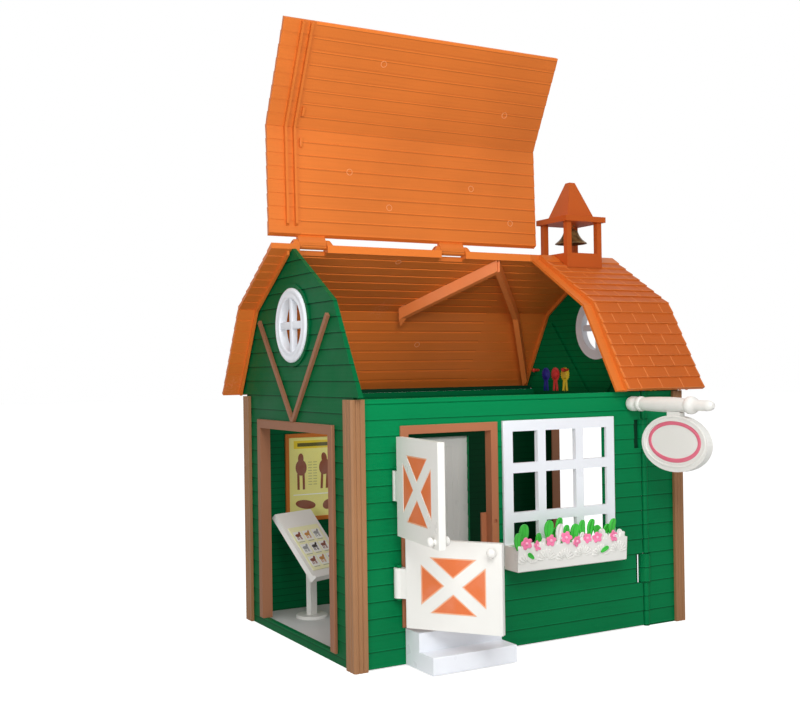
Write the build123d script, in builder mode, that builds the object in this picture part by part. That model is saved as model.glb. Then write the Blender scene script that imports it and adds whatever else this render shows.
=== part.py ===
"""Toy barn with a lift-up gambrel roof, a swinging front wall and Dutch doors.

Millimetres, +Z up. The origin is the centre of the underside. The boarded front wall faces -Y,
its hinge post is towards +X, and the roof ridge runs along X.
"""
from build123d import *
from math import atan2, ceil, cos, degrees, floor, pi, radians, sin, tan
import os

# ---------------------------------------------------------------- walls
BARN_LENGTH = 366.0
BARN_DEPTH = 244.0
WALL_HEIGHT = 230.0
WALL_THICKNESS = 4.6
BOARD_PITCH = 14.06
BOARD_STEP = 0.9
FRONT_FIRST_LINE = 1.5
GABLE_FIRST_LINE = 7.1
TOP_BAND = 17.6
BAND_GROOVE_DROP = 4.8
BAND_GROOVE = 0.6
FLOOR_THICKNESS = 6.0
FLOOR_GAP = 0.2
GROUND_GAP = 1.0
POST_LEG = 13.0
POST_PROUD = 3.0
POST_GROOVE = 1.1
SEAT_GAP = 0.05

# ---------------------------------------------------------------- roof
UPPER_PITCH = 31.8
LOWER_PITCH = 60.5
KNEE_SETBACK = 36.5
EAVE_REACH = 11.6
EAVE_RISE = 2.0
ROOF_THICKNESS = 4.4
ROOF_OVERHANG = 20.5
EAVE_DRIP = 1.3
SHINGLE_ROWS = 8
SHINGLE_STEP = 1.2
PLANK_STEP = 0.5
FIXED_ROOF_LENGTH = 99.5
RIDGE_GAP = 0.4
RIDGE_FLANGE = 2.8
RIDGE_FLANGE_DROP = 2.5
LID_SIDE_GAP = 1.0
LID_LIFT = 0.4
LIP_WIDTH = 10.0
LIP_THICKNESS = 2.6
RIB_WIDTH = 2.5
RIB_DEPTH = 4.0
RIB_CLEARANCE = 1.0
LID_OPEN_ANGLE = 123.1
HINGE_ABOVE_RIDGE = 6.53
HINGE_BEHIND_RIDGE = 6.31
HINGE_PLACES = (23.2, 179.7)
KNUCKLE_LENGTH = 28.6
KNUCKLE_RADIUS = 3.5
KNUCKLE_LOBE_RADIUS = 3.6
KNUCKLE_LOBE_DROP = 2.4
KNUCKLE_SLACK = 0.3
EAR_LENGTH = 9.6
LID_PIN_RADIUS = 2.0
PIN_CLEARANCE = 0.06
SLOT_REACH = 8.7
BRACE_THICKNESS = 5.0
BRACE_DEPTH = 10.0
BRACE_APEX = 236.0
BRACE_LEFT_RUN = 76.0
BRACE_RIGHT_RUN = 115.0

# ---------------------------------------------------------------- gable doorways and windows
DOORWAY_HALF_WIDTH = 78.0
DOORWAY_SILL = 9.0
DOORWAY_TOP = 199.0
TRIM_WIDTH = 8.5
TRIM_PROUD = 3.0
LINING = 1.6
LINING_INSIDE = 3.0
BRACE_BAR_WIDTH = 4.3
BRACE_BAR_INSET = 43.0
BRACE_BAR_TOP = 304.5
ROUND_WINDOW_HEIGHT = 298.0
ROUND_WINDOW_RADIUS = 35.0
ROUND_WINDOW_RING = 10.0
ROUND_WINDOW_PROUD = 3.6
ROUND_EDGE = 1.2
ROUND_BAR_UPRIGHT = 6.0
ROUND_BAR_CROSS = 7.0
ROUND_RIM = 4.0
ROUND_RIM_PROUD = 1.2
ROUND_SIDES = 44
INNER_RIB_FOOT = 207.5
INNER_RIB_WIDTH = 5.0
INNER_RIB_PROUD = 2.5

# ---------------------------------------------------------------- swinging front wall
PANEL_LEFT = 10.6
PANEL_HINGE = 320.7
PANEL_EDGE_GAP = 4.7
STRIP_GAP = 4.3
HINGE_POST_RADIUS = 3.1
HINGE_AXIS_IN = WALL_THICKNESS - HINGE_POST_RADIUS
CLIP_HEIGHT = 28.0
CLIP_CENTRES = (56.5, 188.5)
CLIP_SLACK = 0.5
CLIP_RADIUS = 4.2
CLIP_PIN_RADIUS = 2.3
SLOT_FROM_AXIS = 6.9
SLOT_LENGTH = 6.4
DOOR_LEFT = 52.5
DOOR_RIGHT = 138.0
DOOR_BOTTOM = 33.0
DOOR_TOP = 199.0
FRAME_WIDTH = 7.5
FRAME_PROUD = 2.0
FRAME_LINING = 1.6
FRAME_INSIDE = 3.0
KEEPER_WIDTH = 5.0
KEEPER_LOW = 75.0
KEEPER_HIGH = 124.0
LATCH_HOLE_RADIUS = 1.8
LATCH_HOLE_HEIGHT = 117.0

# ---------------------------------------------------------------- Dutch door leaves
LEAF_AXIS = 40.5
LEAF_AXIS_PROUD = 4.0
LEAF_FROM_AXIS = 7.5
LEAF_WIDTH = 86.5
LEAF_THICKNESS = 6.2
LEAF_BACK = 1.8
LOWER_LEAF = (35.5, 111.0)
UPPER_LEAF = (114.0, 198.0)
LOWER_CLIP = (60.0, 85.5)
UPPER_CLIP = (143.0, 168.5)
LOWER_OPEN_ANGLE = 53.0
UPPER_OPEN_ANGLE = 97.0
LEAF_CLIP_RADIUS = 4.8
LEAF_CLIP_SIDES = 24
LEAF_CLIP_ROOM = 0.6
LEAF_ARM_INSET = 0.4
LEAF_PIN_RADIUS = 1.6
LEAF_BOSS_RADIUS = 2.1
LEAF_BOSS_HEIGHT = 2.0
LEAF_BOSS_GAP = 0.3
BOSS_SIDES = 12
LEAF_BORDER = 14.2
LEAF_CROSS = 10.0
INLAY_DEPTH = 0.8
INLAY_FIT = 0.05
KNOB_RADIUS = 4.0
KNOB_LENGTH = 6.5
KNOB_SIDES = 12
KNOB_FROM_EDGE = 8.0
LOWER_KNOB_DOWN = 7.5
UPPER_KNOB_UP = 5.5

# ---------------------------------------------------------------- front window, box and steps
WINDOW_LEFT = 151.0
WINDOW_WIDTH = 129.0
WINDOW_BOTTOM = 75.0
WINDOW_TOP = 207.0
WINDOW_BORDER = 10.0
WINDOW_BAR = 9.0
SIDE_PANE = 28.0
TOP_PANE = 29.0
WINDOW_PROUD = 3.0
WINDOW_DEEP = 2.0
BOX_LEFT = 150.0
BOX_LENGTH = 125.0
BOX_BOTTOM = 72.5
BOX_HEIGHT = 22.0
BOX_DEPTH = 25.0
BOX_WALL = 2.4
BLOSSOM_OFFSETS = (8.0, 19.0, 33.0, 51.0, 62.0, 77.0, 88.0, 112.0)
BLOSSOM_RADIUS = 5.0
BLOSSOM_STEM = 0.9
LEAF_BLADE_SPACING = 10.6
STEP_LEFT = 48.0
STEP_WIDTH = 84.0
STEP_TREAD = 23.0
STEP_RISE = 16.0

# ---------------------------------------------------------------- hanging sign
SIGN_FROM_LEFT = 301.7
SIGN_HEIGHT = 218.6
SIGN_ARM_LENGTH = 112.0
SIGN_ARM_RADIUS = 7.2
SIGN_PLATE = (86.0, 52.0)
SIGN_PLATE_THICKNESS = 7.0
SIGN_PLATE_CENTRE = 64.0
SIGN_NECK = 16.0
SIGN_PLATE_DROP = 36.0
SIGN_RIM = 5.0
SIGN_PEG_RADIUS = 3.0
SIGN_SIDES = 48
TURNED_SIDES = 20

# ---------------------------------------------------------------- cupola and bell
CUPOLA_FROM_RIGHT = 37.0
CUPOLA_HALF = 23.2
CUPOLA_BASE_TOP = 376.2
CUPOLA_POST = 6.0
CUPOLA_EAVE_HALF = 26.5
CUPOLA_EAVE_LOW = 409.5
CUPOLA_EAVE_THICKNESS = 5.8
CUPOLA_CAP_HALF = 17.7
CUPOLA_APEX_HALF = 3.6
CUPOLA_APEX = 454.3
BELL_RADIUS = 17.3
BELL_BOTTOM = 388.3
BELL_HEIGHT = 16.2
BELL_WALL = 1.6
BELL_SIDES = 24
BELL_PIN_HEIGHT = 407.0
BELL_PIN_RADIUS = 1.2
BELL_EAR_HALF = 1.9
BELL_EAR_PLACE = 3.9
BELL_EAR_THICKNESS = 2.4
CLAPPER_PIN_DROP = 5.4
CLAPPER_PIN_RADIUS = 0.7
CLAPPER_LENGTH = 9.5
CLAPPER_BALL = 2.3

# ---------------------------------------------------------------- rear door
REAR_DOOR_LEFT = 191.0
REAR_DOOR_WIDTH = 78.0
REAR_DOOR_BOTTOM = 9.0
REAR_DOOR_TOP = 178.0
REAR_LEAF_OVERLAP = 2.5
REAR_LEAF_GAP = 0.4
REAR_LEAF_THICKNESS = 3.6
REAR_LEAF_BORDER = 14.0
REAR_CLIP_RADIUS = 3.2
REAR_PLANKS = 7
REAR_CLIPS = ((32.0, 56.0), (131.0, 155.0))

# ---------------------------------------------------------------- things on the inner walls
POSTER_LEFT = 40.0
POSTER_SIZE = (66.0, 92.0)
POSTER_BOTTOM = 97.0
POSTER_FRAME = 4.0
POSTER_DEPTH = 2.4
ROSETTE_FROM_FRONT = (31.0, 49.0)
ROSETTE_FROM_REAR = (67.0, 49.0, 31.0)
ROSETTE_HEIGHT = 244.0
ROSETTE_RADIUS = 4.6
ROSETTE_TAIL = 17.0
PEG_FROM_MIDDLE = 50.0
PEG_FROM_REAR = 16.0
PEG_HEIGHT = 252.0
PEG_STEM = 1.4
PEG_RADIUS = 2.4
PEG_LENGTH = 9.4
STAND_FROM_LEFT = 47.0
STAND_FROM_REAR = 52.0
STAND_TURN = 22.0
STAND_TILT = 42.0
STAND_BOARD = (52.0, 80.0)
STAND_BOARD_THICKNESS = 3.0
STAND_BOARD_HEIGHT = 79.0

# ---------------------------------------------------------------- worked out from the above
HALF_LENGTH = BARN_LENGTH / 2
HALF_DEPTH = BARN_DEPTH / 2
EAVE_RUN = HALF_DEPTH + EAVE_REACH
KNEE_RUN = HALF_DEPTH - KNEE_SETBACK
EAVE_HEIGHT = WALL_HEIGHT + EAVE_RISE
KNEE_HEIGHT = EAVE_HEIGHT + (EAVE_RUN - KNEE_RUN) * tan(radians(LOWER_PITCH))
RIDGE_HEIGHT = KNEE_HEIGHT + KNEE_RUN * tan(radians(UPPER_PITCH))
ROOF_LEFT = -HALF_LENGTH - ROOF_OVERHANG
ROOF_RIGHT = HALF_LENGTH + ROOF_OVERHANG
FIXED_ROOF_LEFT = ROOF_RIGHT - FIXED_ROOF_LENGTH
LID_RIGHT = FIXED_ROOF_LEFT - LID_SIDE_GAP
LID_AXIS = Axis((0, HINGE_BEHIND_RIDGE, RIDGE_HEIGHT + HINGE_ABOVE_RIDGE), (1, 0, 0))
INNER_X = HALF_LENGTH - WALL_THICKNESS
INNER_Y = HALF_DEPTH - WALL_THICKNESS
PANEL_X0 = -HALF_LENGTH + PANEL_LEFT
PANEL_AXIS_X = -HALF_LENGTH + PANEL_HINGE
PANEL_AXIS_Y = -HALF_DEPTH + HINGE_AXIS_IN
PANEL_X1 = PANEL_AXIS_X - PANEL_EDGE_GAP
STRIP_X0 = PANEL_AXIS_X + STRIP_GAP
DOOR_X0 = -HALF_LENGTH + DOOR_LEFT
DOOR_X1 = -HALF_LENGTH + DOOR_RIGHT
LEAF_AXIS_X = -HALF_LENGTH + LEAF_AXIS
LEAF_AXIS_Y = -HALF_DEPTH - LEAF_AXIS_PROUD
LEAF_FRONT = -LEAF_AXIS_Y + LEAF_THICKNESS - LEAF_BACK
WINDOW_X0 = -HALF_LENGTH + WINDOW_LEFT
SIGN_X = -HALF_LENGTH + SIGN_FROM_LEFT
CUPOLA_X = HALF_LENGTH - CUPOLA_FROM_RIGHT
ROSETTE_DEPTHS = [-HALF_DEPTH + place for place in ROSETTE_FROM_FRONT] + [HALF_DEPTH - place for place in ROSETTE_FROM_REAR]
REAR_DOOR_X0 = -HALF_LENGTH + REAR_DOOR_LEFT
REAR_AXIS_X = REAR_DOOR_X0 - LEAF_FROM_AXIS - REAR_LEAF_OVERLAP
REAR_AXIS_Y = HALF_DEPTH + LEAF_AXIS_PROUD


def save(part, name):
    """Label one finished piece and write it to its own file."""
    part.label = name
    export_step(part, f"parts/{name}.step")


# ================================================================ outlines
def boarded_outline(bottom, top, first_line, band=0.0):
    """Section of a lapped-board wall as (distance in from its face, height) points."""
    outline = [(WALL_THICKNESS, bottom), (WALL_THICKNESS, top)]
    board_top = top - band
    if band:
        groove = top - BAND_GROOVE_DROP
        outline += [(0, top), (0, groove + BAND_GROOVE), (BAND_GROOVE, groove)]
        outline += [(0, groove - BAND_GROOVE), (0, board_top)]
    first = ceil((bottom - first_line + 1) / BOARD_PITCH)
    last = floor((board_top - first_line - 1) / BOARD_PITCH)
    edges = [bottom] + [first_line + BOARD_PITCH * k for k in range(first, last + 1)] + [board_top]
    for low, high in reversed(list(zip(edges[:-1], edges[1:]))):
        outline += [(BOARD_STEP * (high - low) / BOARD_PITCH, high), (0, low)]
    return outline


def roof_line(offset, drip=0.0):
    """Ridge, knee and eave of the gambrel line moved outwards, as (run, height) points."""
    upper = radians(UPPER_PITCH)
    lower = radians(LOWER_PITCH)
    ridge = (0.0, RIDGE_HEIGHT + offset / cos(upper))
    slide = offset * tan((lower - upper) / 2)
    knee = (
        KNEE_RUN + offset * sin(upper) + slide * cos(upper),
        KNEE_HEIGHT + offset * cos(upper) - slide * sin(upper),
    )
    eave = (
        EAVE_RUN + offset * sin(lower) + drip * cos(lower),
        EAVE_HEIGHT + offset * cos(lower) - drip * sin(lower),
    )
    return ridge, knee, eave


def between(start, end, share):
    """Point part of the way along a straight line."""
    return tuple(a + (b - a) * share for a, b in zip(start, end))


def stepped_line(inner, outer, drip):
    """Ridge-to-eave line whose rows swell from one offset to the other."""
    thin = roof_line(inner, drip)
    thick = roof_line(outer, drip)
    line = []
    for slope in range(2):
        for row in range(SHINGLE_ROWS):
            line.append(between(thin[slope], thin[slope + 1], row / SHINGLE_ROWS))
            line.append(between(thick[slope], thick[slope + 1], (row + 1) / SHINGLE_ROWS))
    return line


def roof_section(side, lift=0.0, start=0.0):
    """Half-roof section, side -1 for the front and 1 for the back, starting beyond the ridge."""
    outer = stepped_line(ROOF_THICKNESS - SHINGLE_STEP + lift, ROOF_THICKNESS + lift, EAVE_DRIP)
    inner = stepped_line(lift, PLANK_STEP + lift, EAVE_DRIP)
    drop = start * tan(radians(UPPER_PITCH))
    outer[0] = (start, roof_line(ROOF_THICKNESS + lift)[0][1] - drop)
    inner[0] = (start, inner[0][1] - drop)
    return [(side * run, height) for run, height in outer + inner[::-1]]


def roof_band(side, top_offset, depth, start=0.0):
    """Plain band that follows the half-roof line, for ribs, lips and rafters."""
    drop = start * tan(radians(UPPER_PITCH))
    upper = list(roof_line(top_offset))
    lower = list(roof_line(top_offset - depth))
    upper[0] = (start, upper[0][1] - drop)
    lower[0] = (start, lower[0][1] - drop)
    return [(side * run, height) for run, height in upper + lower[::-1]]


def bar_outline(start, end, width):
    """Four corners of a straight bar between two points."""
    along = (Vector(*end) - Vector(*start)).normalized()
    across = Vector(-along.Y, along.X) * (width / 2)
    first, last = Vector(*start), Vector(*end)
    return [(p.X, p.Y) for p in (first + across, last + across, last - across, first - across)]


def turned(profile, sides, origin, direction):
    """Turned piece with flat facets: (distance, radius) points along a direction from an origin."""
    flat = cos(pi / sides)
    section = [(radius * flat, along) for along, radius in profile]
    section += [(-radius * flat, along) for along, radius in reversed(profile)]
    reach = max(radius for _, radius in profile)
    with BuildPart() as piece:
        for step in range(sides // 2):
            turn = 2 * pi * step / sides
            with BuildSketch(Plane((0, 0, 0), (cos(turn), sin(turn), 0), (sin(turn), -cos(turn), 0))):
                Polygon(*section, align=None)
            extrude(amount=reach, both=True, mode=Mode.INTERSECT if step else Mode.ADD)
    return Plane(origin=origin, z_dir=direction).location * piece.part


# ================================================================ floor, gables and fixed walls
def build_floor():
    """Floor tray that the four walls stand round."""
    with BuildPart() as floor_tray:
        with BuildSketch(Plane.XY):
            Rectangle(2 * (INNER_X - FLOOR_GAP), 2 * (INNER_Y - FLOOR_GAP))
        extrude(amount=FLOOR_THICKNESS)
        chamfer(floor_tray.faces().sort_by(Axis.Z)[-1].edges(), 0.8)
    save(floor_tray.part, "floor_tray")


def gable_edge():
    """Outline of a gable end as (depth, height) points."""
    ridge, knee, eave = roof_line(0.0)
    right = [(HALF_DEPTH, 0.0), (HALF_DEPTH, eave[1]), eave, knee]
    left = [(-run, height) for run, height in reversed(right)]
    return right + [ridge] + left


def build_gables():
    """Boarded gable ends: wide doorway, round window hole with a raised rim, V-shaped ribs inside."""
    opening_half = DOORWAY_HALF_WIDTH + LINING + SEAT_GAP
    opening_top = DOORWAY_TOP + LINING + SEAT_GAP
    section = boarded_outline(0.0, RIDGE_HEIGHT, GABLE_FIRST_LINE)
    with BuildPart() as left_gable:
        with BuildSketch(Plane.XZ):
            Polygon(*[(-HALF_LENGTH + inward, height) for inward, height in section], align=None)
        extrude(amount=EAVE_RUN, both=True)
        with BuildSketch(Plane.YZ.offset(-HALF_LENGTH)):
            Polygon(*gable_edge(), align=None)
        extrude(amount=WALL_THICKNESS, mode=Mode.INTERSECT)
        with BuildSketch(Plane.YZ.offset(-HALF_LENGTH - ROUND_RIM_PROUD)):
            with Locations((0, ROUND_WINDOW_HEIGHT)):
                RegularPolygon(ROUND_WINDOW_RADIUS + ROUND_RIM, ROUND_SIDES)
        extrude(amount=ROUND_RIM_PROUD + WALL_THICKNESS / 2)
        with BuildSketch(Plane.YZ.offset(-HALF_LENGTH - ROUND_RIM_PROUD)):
            with Locations((0, ROUND_WINDOW_HEIGHT)):
                RegularPolygon(ROUND_WINDOW_RADIUS + SEAT_GAP, ROUND_SIDES)
            with Locations((0, DOORWAY_SILL)):
                Rectangle(2 * opening_half, opening_top - DOORWAY_SILL, align=(Align.CENTER, Align.MIN))
        extrude(amount=WALL_THICKNESS + ROUND_RIM_PROUD, mode=Mode.SUBTRACT)
        with BuildSketch(Plane.YZ.offset(-INNER_X)):
            for side in (-1, 1):
                top = (side * (HALF_DEPTH - BRACE_BAR_INSET), BRACE_BAR_TOP)
                Polygon(*bar_outline((0.0, INNER_RIB_FOOT), top, INNER_RIB_WIDTH), align=None)
        extrude(amount=INNER_RIB_PROUD)
    save(left_gable.part, "left_gable")
    with BuildPart() as right_gable:
        mirror(left_gable.part, about=Plane.YZ)
    save(right_gable.part, "right_gable")


def build_rear_wall():
    """Boarded rear wall with a doorway and the pin bosses of its door."""
    section = boarded_outline(0.0, WALL_HEIGHT, FRONT_FIRST_LINE, TOP_BAND)
    with BuildPart() as rear_wall:
        with BuildSketch(Plane.YZ.offset(-INNER_X)):
            Polygon(*[(HALF_DEPTH - inward, height) for inward, height in section], align=None)
        extrude(amount=2 * INNER_X)
        with BuildSketch(Plane.XZ.offset(-HALF_DEPTH)):
            with Locations((REAR_DOOR_X0, REAR_DOOR_BOTTOM)):
                Rectangle(REAR_DOOR_WIDTH, REAR_DOOR_TOP - REAR_DOOR_BOTTOM, align=Align.MIN)
        extrude(amount=WALL_THICKNESS, mode=Mode.SUBTRACT)
        for low, high in REAR_CLIPS:
            add(pin_and_bosses(REAR_AXIS_X, REAR_AXIS_Y, low, high, 1))
    save(rear_wall.part, "rear_wall")


def pin_and_bosses(x, y, low, high, side):
    """Upright pin with a D-shaped boss at each end, standing off the wall on the given side."""
    reach = LEAF_AXIS_PROUD + BOARD_STEP
    middle = y - side * reach / 2
    with BuildPart() as pin:
        with BuildSketch(Plane.XY.offset(low - LEAF_BOSS_GAP)):
            with Locations((x, y)):
                Circle(LEAF_PIN_RADIUS)
        extrude(amount=high - low + 2 * LEAF_BOSS_GAP)
        for level in (low - LEAF_BOSS_GAP - LEAF_BOSS_HEIGHT, high + LEAF_BOSS_GAP):
            with BuildSketch(Plane.XY.offset(level)):
                with Locations((x, y)):
                    RegularPolygon(LEAF_BOSS_RADIUS, BOSS_SIDES)
                with Locations((x, middle)):
                    Rectangle(2 * LEAF_BOSS_RADIUS, reach)
            extrude(amount=LEAF_BOSS_HEIGHT)
    return pin.part


def build_corner_posts():
    """Four L-shaped corner posts with a chamfered arris and upright grooves."""
    corner = (-HALF_LENGTH - POST_PROUD, -HALF_DEPTH - POST_PROUD)
    leg = POST_LEG
    with BuildPart() as post:
        with BuildSketch(Plane.XY):
            with Locations(corner):
                Rectangle(leg, POST_PROUD, align=Align.MIN)
                Rectangle(POST_PROUD, leg + POST_PROUD, align=Align.MIN)
            chamfer(vertices().sort_by_distance((*corner, 0))[0], 1.6)
            with Locations(*[(corner[0] + leg * share, corner[1]) for share in (0.36, 0.68)]):
                Rectangle(POST_GROOVE, POST_GROOVE, rotation=45, mode=Mode.SUBTRACT)
            with Locations(*[(corner[0], corner[1] + leg * share) for share in (0.42, 0.82)]):
                Rectangle(POST_GROOVE, POST_GROOVE, rotation=45, mode=Mode.SUBTRACT)
        extrude(amount=WALL_HEIGHT)
    save(post.part, "front_left_post")
    with BuildPart() as front_right:
        mirror(post.part, about=Plane.YZ)
    save(front_right.part, "front_right_post")
    with BuildPart() as rear_left:
        mirror(post.part, about=Plane.XZ)
    save(rear_left.part, "rear_left_post")
    with BuildPart() as rear_right:
        mirror(front_right.part, about=Plane.XZ)
    save(rear_right.part, "rear_right_post")


def build_side_panel():
    """Narrow fixed wall beside the hinge, with the round hinge post moulded on its edge."""
    section = boarded_outline(0.0, WALL_HEIGHT, FRONT_FIRST_LINE, TOP_BAND)
    with BuildPart() as side_panel:
        with BuildSketch(Plane.YZ.offset(STRIP_X0)):
            Polygon(*[(-HALF_DEPTH + inward, height) for inward, height in section], align=None)
        extrude(amount=INNER_X - STRIP_X0)
        with BuildSketch(Plane.XY):
            with Locations((PANEL_AXIS_X, PANEL_AXIS_Y)):
                Circle(HINGE_POST_RADIUS)
                Rectangle(STRIP_GAP + 1, WALL_THICKNESS - 2, align=(Align.MIN, Align.CENTER))
        extrude(amount=WALL_HEIGHT)
        for centre in CLIP_CENTRES:
            level = centre - CLIP_HEIGHT / 2 - CLIP_SLACK
            reach = CLIP_RADIUS + PIN_CLEARANCE + 0.2
            with BuildSketch(Plane.XY.offset(level)):
                with Locations((PANEL_AXIS_X, PANEL_AXIS_Y)):
                    Circle(reach)
                    Circle(CLIP_PIN_RADIUS, mode=Mode.SUBTRACT)
            extrude(amount=CLIP_HEIGHT + 2 * CLIP_SLACK, mode=Mode.SUBTRACT)
    save(side_panel.part, "front_side_panel")


# ================================================================ gable trims
def build_doorway_trims():
    """Doorway trims: a proud flange outside and a thin lining through the wall."""
    half = DOORWAY_HALF_WIDTH
    with BuildPart() as left_trim:
        with BuildSketch(Plane.YZ.offset(-HALF_LENGTH - TRIM_PROUD)):
            with Locations((0, DOORWAY_SILL)):
                Rectangle(2 * (half + TRIM_WIDTH), DOORWAY_TOP + TRIM_WIDTH - DOORWAY_SILL,
                          align=(Align.CENTER, Align.MIN))
        extrude(amount=TRIM_PROUD)
        chamfer(left_trim.faces().sort_by(Axis.X)[0].edges(), 0.7)
        with BuildSketch(Plane.YZ.offset(-HALF_LENGTH)):
            with Locations((0, DOORWAY_SILL)):
                Rectangle(2 * (half + LINING), DOORWAY_TOP + LINING - DOORWAY_SILL,
                          align=(Align.CENTER, Align.MIN))
        extrude(amount=WALL_THICKNESS + LINING_INSIDE)
        with BuildSketch(Plane.YZ.offset(-HALF_LENGTH - TRIM_PROUD)):
            with Locations((0, DOORWAY_SILL)):
                Rectangle(2 * half, DOORWAY_TOP - DOORWAY_SILL, align=(Align.CENTER, Align.MIN))
        extrude(amount=TRIM_PROUD + WALL_THICKNESS + LINING_INSIDE, mode=Mode.SUBTRACT)
    save(left_trim.part, "left_doorway_trim")
    with BuildPart() as right_trim:
        mirror(left_trim.part, about=Plane.YZ)
    save(right_trim.part, "right_doorway_trim")


def build_gable_braces():
    """V-shaped braces that rise from the trim to both sides of the round window."""
    foot = (0.0, DOORWAY_TOP + TRIM_WIDTH + SEAT_GAP)
    with BuildPart() as left_brace:
        with BuildSketch(Plane.YZ.offset(-HALF_LENGTH - TRIM_PROUD)):
            for side in (-1, 1):
                top = (side * (HALF_DEPTH - BRACE_BAR_INSET), BRACE_BAR_TOP)
                Polygon(*bar_outline(foot, top, BRACE_BAR_WIDTH), align=None)
            with Locations((0, foot[1])):
                Rectangle(BRACE_BAR_WIDTH * 4, BRACE_BAR_WIDTH * 2, align=(Align.CENTER, Align.MAX),
                          mode=Mode.SUBTRACT)
        extrude(amount=TRIM_PROUD)
    save(left_brace.part, "left_gable_brace")
    with BuildPart() as right_brace:
        mirror(left_brace.part, about=Plane.YZ)
    save(right_brace.part, "right_gable_brace")


def build_round_windows():
    """Round windows: an eased ring that lines the hole, with an upright and a cross bar."""
    depth = ROUND_WINDOW_PROUD + WALL_THICKNESS
    inner = ROUND_WINDOW_RADIUS - ROUND_WINDOW_RING
    with BuildPart() as left_window:
        with BuildSketch(Plane.YZ.offset(-HALF_LENGTH - ROUND_WINDOW_PROUD)):
            with Locations((0, ROUND_WINDOW_HEIGHT)):
                RegularPolygon(ROUND_WINDOW_RADIUS, ROUND_SIDES)
                RegularPolygon(inner, ROUND_SIDES, mode=Mode.SUBTRACT)
        extrude(amount=depth)
        chamfer(left_window.faces().sort_by(Axis.X)[0].outer_wire().edges(), ROUND_EDGE)
        with BuildSketch(Plane.YZ.offset(-HALF_LENGTH - ROUND_WINDOW_PROUD + ROUND_EDGE)):
            with Locations((0, ROUND_WINDOW_HEIGHT)):
                Rectangle(ROUND_BAR_UPRIGHT, 2 * inner + 2)
                Rectangle(2 * inner + 2, ROUND_BAR_CROSS)
        extrude(amount=depth - 2 * ROUND_EDGE)
    save(left_window.part, "left_round_window")
    with BuildPart() as right_window:
        mirror(left_window.part, about=Plane.YZ)
    save(right_window.part, "right_round_window")


# ================================================================ roof
def hinge_ears(place):
    """Two ramped ears on the ridge that hold one hinge pin."""
    axis_y, axis_z = LID_AXIS.position.Y, LID_AXIS.position.Z
    half = KNUCKLE_LENGTH / 2 + KNUCKLE_SLACK
    top = axis_z + KNUCKLE_RADIUS
    foot = RIDGE_HEIGHT - EAR_LENGTH
    ramp = EAR_LENGTH + 4
    heel = axis_y + KNUCKLE_RADIUS + 3
    with BuildPart() as ears:
        with BuildSketch(Plane.YZ.offset(place - half - EAR_LENGTH - ramp)):
            turns = [pi * step / 6 for step in range(7)]
            round_top = [(axis_y + KNUCKLE_RADIUS * cos(turn), axis_z + KNUCKLE_RADIUS * sin(turn))
                         for turn in turns]
            Polygon(*round_top, (RIDGE_GAP, RIDGE_HEIGHT), (RIDGE_GAP, foot), (heel, foot), align=None)
        extrude(amount=2 * (half + EAR_LENGTH + ramp))
        with BuildSketch(Plane.XZ):
            for side in (-1, 1):
                ear = [(half, foot), (half, top), (half + 3.5, top), (half + EAR_LENGTH, foot + EAR_LENGTH),
                       (half + EAR_LENGTH, foot)]
                Polygon(*[(place + side * x, z) for x, z in ear], align=None)
        extrude(amount=30, both=True, mode=Mode.INTERSECT)
        with BuildSketch(Plane.YZ.offset(ROOF_LEFT)):
            Polygon(*roof_band(1, ROOF_THICKNESS - SHINGLE_STEP - 0.8, 40), align=None)
        extrude(amount=ROOF_RIGHT - ROOF_LEFT, mode=Mode.SUBTRACT)
    return ears.part


def build_rear_roof():
    """Fixed rear half of the roof: ridge flange, hinge ears with slots, and ribs by each gable."""
    axis_y, axis_z = LID_AXIS.position.Y, LID_AXIS.position.Z
    with BuildPart() as rear_roof:
        with BuildSketch(Plane.YZ.offset(ROOF_LEFT)):
            Polygon(*roof_section(1, start=RIDGE_GAP), align=None)
        extrude(amount=ROOF_RIGHT - ROOF_LEFT)
        with BuildSketch(Plane.YZ.offset(-INNER_X + SEAT_GAP)):
            with Locations((RIDGE_GAP, RIDGE_HEIGHT - RIDGE_FLANGE_DROP)):
                Rectangle(RIDGE_FLANGE, 2 * RIDGE_FLANGE_DROP, align=Align.MIN)
        extrude(amount=2 * (INNER_X - SEAT_GAP))
        for side in (-1, 1):
            for start in (HALF_LENGTH + RIB_CLEARANCE, INNER_X - RIB_CLEARANCE - RIB_WIDTH):
                left = start if side > 0 else -start - RIB_WIDTH
                with BuildSketch(Plane.YZ.offset(left)):
                    Polygon(*roof_band(1, PLANK_STEP + 0.2, RIB_DEPTH, 3.0), align=None)
                extrude(amount=RIB_WIDTH)
        for place in HINGE_PLACES:
            add(hinge_ears(-HALF_LENGTH + place))
            with BuildSketch(Plane.XY.offset(RIDGE_HEIGHT - 20)):
                with Locations((-HALF_LENGTH + place, 0)):
                    Rectangle(KNUCKLE_LENGTH + 2 * KNUCKLE_SLACK, SLOT_REACH, align=(Align.CENTER, Align.MIN))
            extrude(amount=30, mode=Mode.SUBTRACT)
        with BuildSketch(Plane.YZ.offset(ROOF_LEFT)):
            with Locations((axis_y, axis_z)):
                Circle(LID_PIN_RADIUS + 0.02)
        extrude(amount=ROOF_RIGHT - ROOF_LEFT, mode=Mode.SUBTRACT)
    save(rear_roof.part, "rear_roof")


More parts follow.
